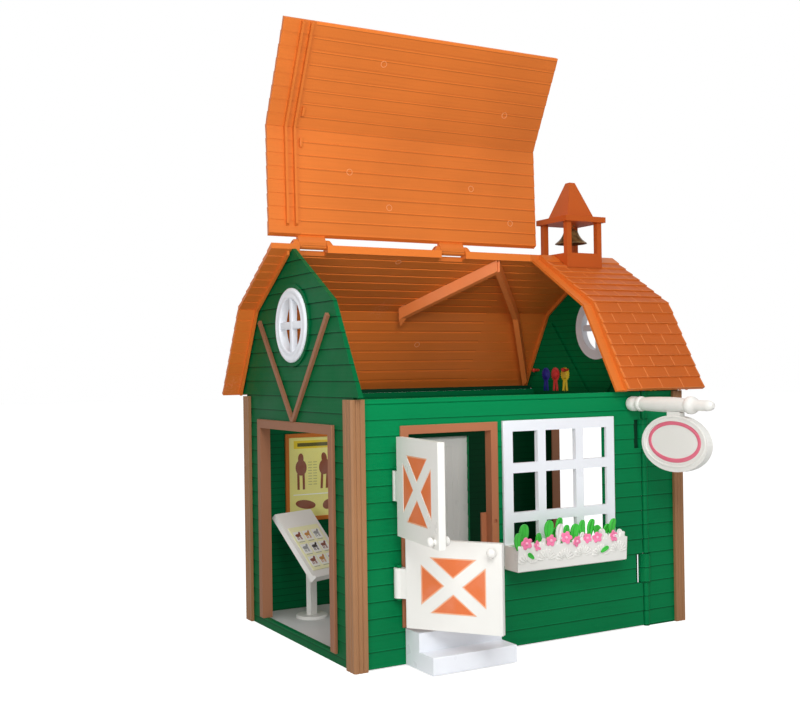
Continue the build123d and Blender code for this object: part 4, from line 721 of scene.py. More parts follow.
def pick(piece: Piece, kind: str, layer: str, test: Callable[[object], bool]) -> None:
    """Select the faces or points that pass a test, and stay in edit mode.

    Args:
        piece: The piece.
        kind: The selection mode, FACE or VERT.
        layer: What the mesh calls them, polygons or vertices.
        test: Says whether one is wanted.
    """
    activate(piece)
    bpy.ops.object.mode_set(mode="EDIT")
    bpy.ops.mesh.select_mode(type=kind)
    bpy.ops.mesh.select_all(action="DESELECT")
    close_edit()
    for item in getattr(piece.data, layer):
        item.select = test(item)
    bpy.ops.object.mode_set(mode="EDIT")


def pick_faces(piece: Piece, test: Callable[[bpy.types.MeshPolygon], bool]) -> None:
    """Select the faces that pass a test, and stay in edit mode."""
    pick(piece, "FACE", "polygons", test)


def pick_points(piece: Piece, test: Callable[[Vector], bool]) -> None:
    """Select the points whose place passes a test, and stay in edit mode."""
    pick(piece, "VERT", "vertices", lambda point: test(point.co))


def shift(x: float, y: float, z: float) -> None:
    """Move what is selected in edit mode."""
    bpy.ops.transform.translate(value=(x, y, z))


def resize(size: Place, about: Place = (0.0, 0.0, 0.0)) -> None:
    """Resize what is selected in edit mode about a point."""
    bpy.ops.transform.resize(value=size, center_override=about)


def settle(piece: Piece, name: str) -> Piece:
    """Apply a piece's place to its mesh and name it.

    Args:
        piece: The piece.
        name: Its name.

    Returns:
        The same piece.
    """
    activate(piece)
    bpy.ops.object.transform_apply(location=True, rotation=True, scale=True)
    piece.name = name
    piece.data.name = name
    return piece


def apply_modifier(piece: Piece, kind: str, **settings: object) -> Piece:
    """Add a modifier and apply it.

    Args:
        piece: The piece.
        kind: The modifier's type.
        **settings: Its settings.

    Returns:
        The same piece.
    """
    activate(piece)
    modifier = piece.modifiers.new("shaping", kind)
    for key, value in settings.items():
        setattr(modifier, key, value)
    bpy.ops.object.modifier_apply(modifier="shaping")
    return piece


def block(name: str, centre: Place, size: Place, bevel: float = 0.0, segments: int = 1) -> Piece:
    """A box with eased edges.

    Args:
        name: The piece's name.
        centre: Its centre.
        size: Its three sizes.
        bevel: How far its edges are cut back.
        segments: Steps in the bevel.

    Returns:
        The piece.
    """
    free_selection()
    bpy.ops.mesh.primitive_cube_add(size=1.0, location=centre)
    piece = bpy.context.object
    piece.scale = size
    settle(piece, name)
    if bevel:
        open_edit()
        bpy.ops.mesh.bevel(offset=bevel, segments=segments, affect="EDGES")
        close_edit()
    return piece


def grown(name: str, rings: Sequence[Place], sides: int, filled: bool = True) -> Piece:
    """A form round +Z, grown ring by ring from its first ring.

    Args:
        name: The piece's name.
        rings: (height, half width, half depth) of each ring.
        sides: Sides of each ring.
        filled: Whether its two ends are closed by a face.

    Returns:
        The piece.
    """
    free_selection()
    height, wide, deep = rings[0]
    bpy.ops.mesh.primitive_circle_add(vertices=sides, radius=1.0, fill_type="NGON" if filled else "NOTHING")
    piece = bpy.context.object
    piece.scale = (wide, deep, 1.0)
    piece.location = (0, 0, height)
    settle(piece, name)
    open_edit()
    for next_height, next_wide, next_deep in rings[1:]:
        bpy.ops.mesh.extrude_region_move(TRANSFORM_OT_translate={"value": (0, 0, next_height - height)})
        resize((next_wide / wide, next_deep / deep, 1), (0, 0, next_height))
        height, wide, deep = next_height, next_wide, next_deep
    bpy.ops.mesh.select_all(action="SELECT")
    bpy.ops.mesh.remove_doubles(threshold=WELD)
    bpy.ops.mesh.normals_make_consistent(inside=False)
    close_edit()
    return piece


def turned(name: str, profile: Sequence[Point], sides: int = 40, filled: bool = True) -> Piece:
    """A turned piece round +Z.

    Args:
        name: The piece's name.
        profile: (height, radius) points.
        sides: Sides of each ring.
        filled: Whether its two ends are closed by a face.

    Returns:
        The piece.
    """
    return grown(name, [(height, radius, radius) for height, radius in profile], sides, filled)


def hoop(name: str, half: Point, section: Sequence[Point], sides: int = 72) -> Piece:
    """An oval or round band round +Z with one closed section all the way.

    Args:
        name: The piece's name.
        half: Half width and half depth of the band's middle line.
        section: (height, how far outwards) points, not repeated at the end.
        sides: Sides of the band.

    Returns:
        The piece.
    """
    rings = [(height, half[0] + out, half[1] + out) for height, out in (*section, section[0])]
    return grown(name, rings, sides, filled=False)


def smooth(piece: Piece, angle: float = 32.0) -> Piece:
    """Shade a piece smooth except over its sharp edges.

    Args:
        piece: The piece.
        angle: Edges sharper than this stay sharp, in degrees.

    Returns:
        The same piece.
    """
    activate(piece)
    bpy.ops.object.shade_smooth_by_angle(angle=radians(angle))
    return piece


def pose(piece: Piece, matrix: Matrix) -> Piece:
    """Move a piece's mesh and leave its object at the origin.

    Args:
        piece: The piece.
        matrix: Where it goes.

    Returns:
        The same piece.
    """
    piece.matrix_world = matrix
    return settle(piece, piece.name)


def copies(piece: Piece, places: Iterable[Matrix]) -> list[Piece]:
    """Copy a pattern to each place, each copy with its own mesh, and throw the pattern away.

    Args:
        piece: The pattern.
        places: Where the copies go.

    Returns:
        The copies.
    """
    made = []
    for place in places:
        twin = piece.copy()
        twin.data = piece.data.copy()
        twin.data.transform(place)
        bpy.context.collection.objects.link(twin)
        made.append(twin)
    bpy.data.objects.remove(piece, do_unlink=True)
    return made


def joined(pieces: Iterable[Piece], name: str) -> Piece:
    """Join pieces into one.

    Args:
        pieces: The pieces, which are used up.
        name: The name of the whole.

    Returns:
        The joined piece.
    """
    free_selection()
    group = list(pieces)
    for piece in group:
        piece.select_set(True)
    bpy.context.view_layer.objects.active = group[0]
    if len(group) > 1:
        bpy.ops.object.join()
    whole = bpy.context.view_layer.objects.active
    whole.name = name
    whole.data.name = name
    return whole


def face_out(piece: Piece) -> Piece:
    """Turn a closed piece's faces outwards.

    Args:
        piece: The piece.

    Returns:
        The same piece.
    """
    activate(piece)
    open_edit()
    bpy.ops.mesh.normals_make_consistent(inside=False)
    close_edit()
    return piece


def in_mm(points: Iterable[Point]) -> list[Point]:
    """Points given in millimetres, as metres."""
    return [(first * MM, second * MM) for first, second in points]


def facing(origin: Place, direction: Place) -> Matrix:
    """A place whose +Z points along a direction.

    Args:
        origin: The place.
        direction: Where +Z points.

    Returns:
        The matrix.
    """
    turn = Vector(direction).normalized().to_track_quat("Z", "Y")
    return Matrix.Translation(origin) @ turn.to_matrix().to_4x4()


def spun(axis: str, angle: float) -> Matrix:
    """A turn about X, Y or Z by degrees."""
    return Matrix.Rotation(radians(angle), 4, axis)


def moved(x: float, y: float, z: float) -> Matrix:
    """A move by three distances."""
    return Matrix.Translation((x, y, z))


@dataclass
class Crew:
    """Hands a finished piece to the frame: its finish, its body and the node it stands for."""

    finishes: Finishes

    def keep(self, piece: Piece, finish: str, body: str, slot: str, node: str = "") -> None:
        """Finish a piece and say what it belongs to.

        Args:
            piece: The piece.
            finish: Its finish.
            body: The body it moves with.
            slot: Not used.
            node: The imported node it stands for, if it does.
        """
        self.finishes.put(piece, finish)
        if node:
            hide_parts(node)
        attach(piece, body)
        stands_for = f", for {node}" if node else ""
        LOG.info("%s: %d faces%s", piece.name, len(piece.data.polygons), stands_for)


# ---------------------------------------------------------------- floor, light and camera
@dataclass
class Studio:
    """Pale floor, soft lamps and the camera."""

    camera_at: Place = (-0.59974, -0.95178, 0.25456)
    yaw: float = 29.27
    pitch: float = -0.18
    roll: float = -0.87
    focal_px: float = 1102.45
    centre_px: Point = (401.99, 366.57)
    picture_px: Point = (800.0, 716.0)
    sensor: float = 36.0
    ambient: float = 0.36
    floor_radius: float = 9.0
    floor_drop: float = 0.4 * MM
    floor_tones: tuple[Colour, Colour] = ((0.80, 0.80, 0.80), (0.83, 0.83, 0.83))
    floor_roughness: float = 0.9
    floor_lift: float = 0.75
    lamps: tuple[tuple[str, Place, Place, float, float], ...] = (
        ("key", (-0.34, -0.74, 0.62), (-0.05, -0.1, 0.22), 0.4, 3.9),
        ("fill", (-1.15, -0.85, 0.30), (0.0, 0.0, 0.2), 0.4, 3.6),
        ("top", (-0.1, -0.45, 1.7), (0.0, -0.1, 0.1), 0.9, 5.0))

    def build(self) -> None:
        """Make the camera, the lamps, the world and the floor."""
        self.build_camera()
        self.build_world()
        self.build_floor()
        for name, at, aim, size, power in self.lamps:
            self.lamp(name, at, aim, size, power)
        bpy.context.scene.view_settings.view_transform = "Standard"
        LOG.info("studio ready")

    def build_camera(self) -> None:
        """Set the camera where it looks at the barn's front left corner."""
        width, height = self.picture_px
        lens = bpy.data.cameras.new("camera")
        lens.sensor_width = self.sensor
        lens.lens = self.focal_px / width * self.sensor
        lens.shift_x = (width / 2 - self.centre_px[0]) / width
        lens.shift_y = (self.centre_px[1] - height / 2) / width
        camera = bpy.data.objects.new("camera", lens)
        bpy.context.collection.objects.link(camera)
        turn = Matrix.Rotation(radians(-self.yaw), 4, "Z") @ Matrix.Rotation(radians(90 - self.pitch), 4, "X")
        camera.matrix_world = Matrix.Translation(self.camera_at) @ turn @ Matrix.Rotation(radians(self.roll), 4, "Z")
        bpy.context.scene.camera = camera

    def build_world(self) -> None:
        """White to the camera and to reflections, and a soft light for the rest."""
        world = bpy.data.worlds.new("studio")
        graph = Graph(world)
        rays = graph.add("LightPath").outputs
        clear = graph.math("MAXIMUM", rays["Is Glossy Ray"], rays["Is Transmission Ray"])
        seen = graph.math("MAXIMUM", rays["Is Camera Ray"], clear)
        strength = graph.span(seen, 0.0, 1.0, self.ambient, 1.0)
        graph.show(graph.add("Background", Color=(1.0, 1.0, 1.0, 1.0), Strength=strength))
        bpy.context.scene.world = world

    def build_floor(self) -> None:
        """A wide pale floor that keeps the barn's shadow."""
        free_selection()
        bpy.ops.mesh.primitive_circle_add(vertices=96, radius=self.floor_radius, fill_type="NGON",
                                          location=(0, 0, -self.floor_drop))
        floor = settle(bpy.context.object, "studio_floor")
        graph = Graph(bpy.data.materials.new("studio_floor"))
        base = graph.mix(graph.noise(3.0, 2.0, graph.place()), *self.floor_tones)
        matt = graph.add("BsdfPrincipled", Base_Color=base, Roughness=self.floor_roughness)
        seen = graph.product(graph.add("LightPath").outputs["Is Camera Ray"], self.floor_lift)
        lift = graph.add("Emission", Strength=seen)
        graph.show(graph.add("AddShader", in0=matt.outputs[0], in1=lift.outputs[0]))
        floor.data.materials.append(graph.holder)

    def lamp(self, name: str, at: Place, aim: Place, size: float, power: float) -> None:
        """Add a square soft lamp.

        Args:
            name: The lamp's name.
            at: Where it stands.
            aim: What it points at.
            size: Its side.
            power: Its power in watts.
        """
        light = bpy.data.lights.new(name, "AREA")
        light.size = size
        light.energy = power
        lamp = bpy.data.objects.new(name, light)
        bpy.context.collection.objects.link(lamp)
        lamp.matrix_world = facing(at, tuple(Vector(at) - Vector(aim)))


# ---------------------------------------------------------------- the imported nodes
@dataclass
class ShellDresser:
    """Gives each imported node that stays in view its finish."""

    finishes: Finishes
    plan: dict[str, tuple[str, ...]] = field(default_factory=lambda: {
        "green_boards": ("rear_wall", "front_side_panel", "front_panel"),
        # painted shade: the gables get a darker green
        "green_gable": ("left_gable", "right_gable"),
        "orange_roof": ("rear_roof", "fixed_front_roof"),
        "orange_lid": ("roof_lid",),
        "orange_plain": ("lid_hinge_pins",),
        # painted highlight: the brace gets a lighter orange
        "orange_brace": ("roof_brace",),
        "cupola_orange": ("cupola_frame", "cupola_roof"),
        "post_brown": ("front_left_post", "front_right_post", "rear_left_post", "rear_right_post"),
        "trim_brown": ("left_doorway_trim", "right_doorway_trim", "left_gable_brace", "right_gable_brace"),
        "frame_brown": ("door_frame",),
        "poster_oak": ("poster_frame",),
        "warm_white": ("flower_box", "upper_door", "lower_door", "rear_door", "sign_plate", "chart_stand",
                       "sign_arm", "upper_door_knobs", "lower_door_knobs", "rear_door_knob"),
        "cool_white": ("window_frame", "door_steps", "left_round_window", "right_round_window"),
        "door_orange": ("upper_door_inlays", "lower_door_inlays"),
        "floor_grey": ("floor_tray",),
        "bell_brass": ("bell", "clapper", "bell_pin"),
        "leaf_green": ("flower_foliage",),
        "petal_pink": ("flower_blossoms",),
        "peg_red": ("coat_pegs",),
        "poster_yellow": ("poster_sheet",),
        "card_cream": ("chart_card",),
        "ribbon_blue": ("prize_rosettes",),
    })

    def dress(self) -> None:
        """Put the finishes on."""
        for finish, names in self.plan.items():
            for name in names:
                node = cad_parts[name]
                if not node.data.materials:
                    node.data.materials.append(None)
                for index in range(len(node.data.materials)):
                    node.data.materials[index] = self.finishes.made[finish]
        LOG.info("packed nodes dressed: %d", sum(len(names) for names in self.plan.values()))


# ---------------------------------------------------------------- roof
@dataclass
class GambrelLine:
    """The roof's ridge, knee and eave, moved outwards by an offset."""

    upper_pitch: float = 31.8
    lower_pitch: float = 60.5
    knee: Point = (KNEE_RUN, 317.01646 * MM)
    ridge: float = 370.0287 * MM
    eave: Point = (EAVE_RUN, 232.0 * MM)
    lid_lift: float = 0.4 * MM

    def corners(self, offset: float, drip: float = 0.0) -> tuple[Point, Point, Point]:
        """Ridge, knee and eave as (run, height).

        Args:
            offset: How far outwards.
            drip: How much longer the lower slope is.

        Returns:
            The three corners.
        """
        upper, lower = radians(self.upper_pitch), radians(self.lower_pitch)
        slide = offset * tan((lower - upper) / 2)
        knee = (self.knee[0] + offset * sin(upper) + slide * cos(upper),
                self.knee[1] + offset * cos(upper) - slide * sin(upper))
        eave = (self.eave[0] + offset * sin(lower) + drip * cos(lower),
                self.eave[1] + offset * cos(lower) - drip * sin(lower))
        return (0.0, self.ridge + offset / cos(upper)), knee, eave

    def opened(self) -> Matrix:
        """How the lid is turned from shut to its open rest."""
        return moved(0, *LID_AXIS) @ spun("X", -LID_ANGLE) @ moved(0, -LID_AXIS[0], -LID_AXIS[1])


def share(start: Point, end: Point, part: float) -> Point:
    """The point part of the way along a line.

    Args:
        start: Its start.
        end: Its end.
        part: The share of the way.

    Returns:
        The point.
    """
    return start[0] + (end[0] - start[0]) * part, start[1] + (end[1] - start[1]) * part


@dataclass
class Shingles:
    """Staggered shingles on the outside of the three roof parts."""

    crew: Crew
    line: GambrelLine
    rows: int = 8
    thick: float = 4.4 * MM
    step: float = 1.2 * MM
    drip: float = 1.3 * MM
    width: float = 27.0 * MM
    joint: float = 0.5 * MM
    sliver: float = 2.0 * MM
    row_gap: float = 0.4 * MM
    height: float = 0.45 * MM
    taper: float = 0.55
    ease: float = 0.34 * MM
    margin: float = 1.6 * MM
    lip: float = 10.0 * MM

    def build(self) -> None:
        """Lay the shingles on the fixed front roof, the rear roof and the lid."""
        rear, front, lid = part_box("rear_roof"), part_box("fixed_front_roof"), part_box("roof_lid")
        for name, body, side, low, high, lift, turn in (
            ("fixed_roof_shingles", "barn", -1, front[0].x + self.lip, front[1].x, 0.0, Matrix.Identity(4)),
            ("rear_roof_shingles", "barn", 1, rear[0].x, rear[1].x, 0.0, Matrix.Identity(4)),
            ("lid_shingles", "lid", -1, lid[0].x, lid[1].x, self.line.lid_lift, self.line.opened()),
        ):
            places = [turn @ place for place in self.places(side, low, high, lift)]
            piece = joined(copies(self.tile(), places), name)
            self.crew.keep(piece, "orange_shingle", body, "orange_roof")
            # the bevel faces get the paler orange: a painted highlight along each shingle's edges
            piece.data.materials.append(self.crew.finishes.made["orange_edge_highlight"])
            apply_modifier(piece, "BEVEL", width=self.ease, segments=1, material=1)

    def tile(self) -> Piece:
        """One shingle as a unit wedge: thin at its upper edge, thick at its foot, which is at +Y.

        Returns:
            The wedge.
        """
        tile = block("shingle", (0, 0, 0), (1, 1, 1))
        pick_points(tile, lambda at: at.y < 0)
        resize((1, 1, self.taper), (0, -0.5, 0))
        close_edit()
        return tile

    def places(self, side: int, low: float, high: float, lift: float) -> list[Matrix]:
        """Where each shingle goes on one half of the roof.

        Args:
            side: -1 for the front, 1 for the back.
            low: Left end.
            high: Right end.
            lift: How far the roof part stands off the roof line.

        Returns:
            One matrix for each shingle, which sizes the unit wedge too.
        """
        thin = self.line.corners(self.thick - self.step + lift, self.drip)
        full = self.line.corners(self.thick + lift, self.drip)
        found = []
        for slope in range(2):
            for row in range(self.rows):
                if slope == 0 and row == 0:
                    continue
                top = share(thin[slope], thin[slope + 1], row / self.rows)
                foot = share(full[slope], full[slope + 1], (row + 1) / self.rows)
                for left, right in self.runs(low + self.margin, high - self.margin, (row + slope) % 2):
                    found.append(self.tile_at(side, top, foot, left, right))
        return found

    def runs(self, low: float, high: float, odd: int) -> list[Point]:
        """Left and right ends of the shingles in one row.

        Args:
            low: Left end of the row.
            high: Right end of the row.
            odd: 1 for a row that starts half a shingle later.

        Returns:
            The pairs of ends.
        """
        at = high - (self.width / 2 if odd else 0.0)
        cuts = [high]
        while at > low + self.sliver:
            if at < high - self.sliver:
                cuts.append(at)
            at -= self.width
        cuts.append(low)
        return [(left + self.joint / 2, right - self.joint / 2) for right, left in zip(cuts[:-1], cuts[1:])]

    def tile_at(self, side: int, top: Point, foot: Point, left: float, right: float) -> Matrix:
        """The matrix that puts a unit wedge down as one shingle.

        Args:
            side: -1 for the front, 1 for the back.
            top: Upper edge as (run, height).
            foot: Lower edge as (run, height).
            left: Left end.
            right: Right end.

        Returns:
            The matrix.
        """
        run, fall = foot[0] - top[0], foot[1] - top[1]
        middle = share(top, foot, 0.5)
        spin = Matrix.Rotation(atan2(fall, run * side), 4, "X")
        size = Matrix.Diagonal((right - left, hypot(run, fall) - self.row_gap, 2 * self.height, 1.0))
        return moved((left + right) / 2, side * middle[0], middle[1]) @ spin @ size


@dataclass
class EaveShadeStrip:
    """Dark strip that closes the slit between the rear wall's top and the roof's eave: painted shade in the slit."""

    crew: Crew
    inner: float = 118.0 * MM
    outer: float = 132.0 * MM
    levels: Point = (230.1 * MM, 234.0 * MM)
    end_gap: float = 0.5 * MM
    slant: float = 1.0 * MM
    ease: float = 0.5 * MM

    def build(self) -> None:
        """Make the strip between the gables, with its outer face slanted in."""
        left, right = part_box("left_gable")[1].x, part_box("right_gable")[0].x
        low, high = self.levels
        strip = block("eave_shade_strip", ((left + right) / 2, (self.inner + self.outer) / 2, (low + high) / 2),
                      (right - left - 2 * self.end_gap, self.outer - self.inner, high - low))
        pick_points(strip, lambda at: at.y > self.inner + self.slant and at.z > low + self.slant)
        shift(0, -self.slant, 0)
        apply_modifier(strip, "BEVEL", width=self.ease, segments=2)
        # painted shade: the strip is dark shade green
        self.crew.keep(strip, "shade_green", "barn", "green_wall")


@dataclass
class SlotShadeSheets:
    """Thin dark sheets inside the slots beside the front wall's two hinge clips: painted shade in the slots."""

    crew: Crew
    centres: Point = (56.5 * MM, 188.5 * MM)
    height: float = 28.6 * MM
    edges: tuple[Point, Point] = ((124.2 * MM, 128.2 * MM), (124.2 * MM, 131.0 * MM))
    depth: Point = (-119.4 * MM, -118.2 * MM)
    ease: float = 0.2 * MM

    def build(self) -> None:
        """Make a sheet for each slot: the lower one leaves a gap."""
        shade_sheets = [
            block("shade_sheet", ((left + right) / 2, sum(self.depth) / 2, centre),
                  (right - left, self.depth[1] - self.depth[0], self.height), self.ease)
            for centre, (left, right) in zip(self.centres, self.edges, strict=True)
        ]
        # painted shade: the sheets are dark shade green
        self.crew.keep(joined(shade_sheets, "slot_shade_sheets"), "shade_green", "front_wall", "green_wall")


@dataclass
class MouldMarks:
    """Round ejector marks inside the roof, paler as a painted highlight, and the small clip nubs of the lid."""

    crew: Crew
    line: GambrelLine
    drip: float = 1.3 * MM
    ring: float = 2.9 * MM
    wire: float = 0.36 * MM
    wire_section: tuple[Point, ...] = ((-1.0, 1.0), (0.4, 0.7), (0.5, 0.0), (0.4, -0.7), (-1.0, -1.0))
    lid_places: tuple[Point, ...] = (
        (-0.118, 0.62), (-0.075, 0.30), (0.022, 0.55), (0.055, 1.35), (-0.095, 1.70), (0.07, 0.22))
    rear_places: tuple[Point, ...] = ((-0.062, 0.14), (0.050, 0.12), (-0.020, 0.9), (0.012, 1.4))
    nub_places: tuple[float, ...] = (0.86, 1.16)
    nub_from_gable: float = 6.5 * MM
    nub_size: Place = (3.0 * MM, 9.0 * MM, 4.4 * MM)
    nub_ease: float = 0.8 * MM

    def build(self) -> None:
        """Put the marks on the lid's and the rear roof's inner faces."""
        lid, rear = self.line.corners(self.line.lid_lift, self.drip), self.line.corners(0.0, self.drip)
        turn = self.line.opened()
        for name, body, side, corners, places, spin in (
            ("lid_mould_marks", "lid", -1, lid, self.lid_places, turn),
            ("roof_mould_marks", "barn", 1, rear, self.rear_places, Matrix.Identity(4)),
        ):
            section = [(up * self.wire, out * self.wire) for up, out in self.wire_section]
            mark = hoop("mark", (self.ring, self.ring), section, 28)
            at = [spin @ self.mark_at(side, corners, x, along) for x, along in places]
            # the rings get a paler orange: a painted highlight
            self.crew.keep(smooth(joined(copies(mark, at), name)), "orange_mark_highlight", body, "orange_roof")
        nub = block("nub", (0, 0, 0), self.nub_size, self.nub_ease, 2)
        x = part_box("left_gable")[1].x + self.nub_from_gable
        nubs = copies(nub, [turn @ self.mark_at(-1, lid, x, along) for along in self.nub_places])
        self.crew.keep(smooth(joined(nubs, "lid_clip_nubs")), "orange_plain", "lid", "orange_roof")

    def mark_at(self, side: int, corners: Sequence[Point], x: float, along: float) -> Matrix:
        """The place of one mark on an inner face.

        Args:
            side: -1 for the front, 1 for the back.
            corners: Ridge, knee and eave of the face.
            x: Place along the ridge.
            along: 0 at the ridge, 1 at the knee and 2 at the eave.

        Returns:
            The matrix.
        """
        slope = min(int(along), 1)
        start, end = corners[slope], corners[slope + 1]
        at = share(start, end, along - slope)
        tilt = atan2(end[1] - start[1], (end[0] - start[0]) * side)
        return moved(x, side * at[0], at[1]) @ Matrix.Rotation(tilt, 4, "X")


# ---------------------------------------------------------------- round windows and door panels
@dataclass
class RoundWindows:
    """Turned white rings with a crossed bar in both gables."""

    crew: Crew
    height: float = 298.0 * MM
    wall: float = 178.4 * MM
    sides: int = 88
    section: tuple[Point, ...] = (
        (0.0, 35.0), (4.6, 35.0), (7.0, 35.0), (7.9, 34.2), (8.2, 33.0), (8.2, 31.5), (7.7, 30.6), (7.7, 28.0),
        (8.1, 27.0), (8.1, 26.0), (7.6, 25.2), (6.8, 25.0), (0.0, 25.0))
    bar_reach: float = 26.0 * MM
    bars: Point = (6.0 * MM, 7.0 * MM)
    bar_levels: Point = (1.2 * MM, 7.0 * MM)
    bar_ease: float = 0.7 * MM
    cross_sunk: float = 0.3 * MM

    def build(self) -> None:
        """Make the left window and its mirror image."""
        low, high = self.bar_levels
        middle, deep, span = (low + high) / 2, high - low, 2 * self.bar_reach
        for name, side in (("left", -1), ("right", 1)):
            ring = turned(f"{name}_ring", in_mm((*self.section, self.section[0])), self.sides, filled=False)
            upright = block("upright", (0, 0, middle), (self.bars[0], span, deep), self.bar_ease, 2)
            cross = block("cross", (0, 0, middle), (span, self.bars[1], deep - 2 * self.cross_sunk), self.bar_ease, 2)
            piece = joined([ring, upright, cross], f"{name}_round_window_smooth")
            out = Matrix(((0, 0, side, side * self.wall), (1, 0, 0, 0), (0, 1, 0, self.height), (0, 0, 0, 1)))
            face_out(pose(piece, out))
            self.crew.keep(smooth(piece, angle=35), "cool_white", "barn", "white_trim", f"{name}_round_window")


@dataclass
class DoorPanels:
    """Painted triangles with a paler raised rim, sunk in both faces of the Dutch leaves."""

    crew: Crew
    axis: Point = (-142.5 * MM, -126.0 * MM)
    from_axis: float = 7.5 * MM
    width: float = 86.5 * MM
    border: float = 14.2 * MM
    cross: float = 10.0 * MM
    faces: Point = (-130.4 * MM, -124.2 * MM)
    depth: float = 0.8 * MM
    rim: float = 1.1 * MM
    sunk: Point = (0.15 * MM, 0.35 * MM)
    chamfer: float = 0.12 * MM
    fit: float = 0.05 * MM
    leaves: tuple[tuple[str, float, float], ...] = (
        ("lower", 35.5 * MM, 111.0 * MM), ("upper", 114.0 * MM, 198.0 * MM))

    def build(self) -> None:
        """Make the triangles of both leaves."""
        for leaf, low, high in self.leaves:
            turn = moved(*self.axis, 0) @ spun("Z", -LEAF_ANGLES[leaf]) @ moved(-self.axis[0], -self.axis[1], 0)
            panels, rims = [], []
            for face, outwards in ((self.faces[0], -1), (self.faces[1], 1)):
                for corners in self.triangles(low, high):
                    panels.append(self.panel(corners, face, outwards, self.rim, self.sunk[0]))
                    rims.append(self.panel(corners, face, outwards, 0.0, self.sunk[1]))
            for part, finish, pieces, node in (("rims", "door_rim", rims, f"{leaf}_door_inlays"),
                                               ("panels", "door_orange", panels, "")):
                piece = pose(joined(pieces, f"{leaf}_door_{part}"), turn)
                self.crew.keep(piece, finish, f"{leaf}_leaf", "orange_panel", node)

    def triangles(self, low: float, high: float) -> list[list[Point]]:
        """Corners of the four triangles of a shut leaf, as (across, up).

        Args:
            low: The leaf's lower edge.
            high: Its upper edge.

        Returns:
            The four triangles.
        """
        x, z = self.axis[0] + self.from_axis + self.width / 2, (low + high) / 2
        wide, tall = self.width / 2 - self.border, (high - low) / 2 - self.border
        lean = atan2(tall, wide)
        gap_x, gap_z = self.cross / 2 / sin(lean), self.cross / 2 / cos(lean)
        found = []
        for side in (-1, 1):
            edge_x, edge_z = x + side * wide, z + side * tall
            found.append([(x + side * gap_x, z), (edge_x, z + tall - gap_z), (edge_x, z - tall + gap_z)])
            found.append([(x, z + side * gap_z), (x + wide - gap_x, edge_z), (x - wide + gap_x, edge_z)])
        return found

    def panel(self, corners: list[Point], face: float, outwards: int, inset: float, sunk: float) -> Piece:
        """One triangle: a three-sided plate, fitted to its place, inset and chamfered.

        Args:
            corners: Its corners as (across, up).
            face: The leaf's face.
            outwards: -1 for the front face, 1 for the inner face.
            inset: How far it is held back from the corners' edges.
            sunk: How far its face lies below the leaf's.

        Returns:
            The plate.
        """
        inner = shrunk(corners, self.fit + inset)
        deep = self.depth - sunk - self.fit
        free_selection()
        bpy.ops.mesh.primitive_circle_add(vertices=3, radius=1.0, fill_type="NGON")
        plate = settle(bpy.context.object, "panel")
        at = [(x, face - outwards * (self.depth - self.fit), z) for x, z in inner]
        plate.data.transform(three_points([point.co for point in plate.data.vertices], at))
        activate(plate)
        open_edit()
        bpy.ops.mesh.extrude_region_move(TRANSFORM_OT_translate={"value": (0, outwards * (deep - self.chamfer), 0)})
        bpy.ops.mesh.inset(thickness=self.chamfer, depth=0.0)
        shift(0, outwards * self.chamfer, 0)
        close_edit()
        return face_out(plate)


def shrunk(corners: Sequence[Point], distance: float) -> list[Point]:
    """A triangle with its sides moved inwards.

    Args:
        corners: Its corners.
        distance: How far its sides move.

    Returns:
        The new corners.
    """
    points = [Vector(corner) for corner in corners]
    sides = [(points[(index + 1) % 3] - points[(index + 2) % 3]).length for index in range(3)]
    around = sum(sides)
    centre = sum((point * side for point, side in zip(points, sides)), Vector((0.0, 0.0))) / around
    first, second = points[1] - points[0], points[2] - points[0]
    radius = abs(first.x * second.y - first.y * second.x) / around
    return [tuple(centre + (point - centre) * (1.0 - distance / radius)) for point in points]


def three_points(start: Sequence[Vector], end: Sequence[Place]) -> Matrix:
    """The matrix that takes three points to three others.

    Args:
        start: The points.
        end: Where they go.

    Returns:
        The matrix.
    """
    def base(points: Sequence[Vector]) -> Matrix:
        """A frame set up by three points.

        Args:
            points: The points.

        Returns:
            The frame.
        """
        first, second, third = (Vector(point) for point in points)
        one, two = second - first, third - first
        base_frame = Matrix((one, two, one.cross(two).normalized())).transposed().to_4x4()
        base_frame.translation = first
        return base_frame

    return base(end) @ base(start).inverted()


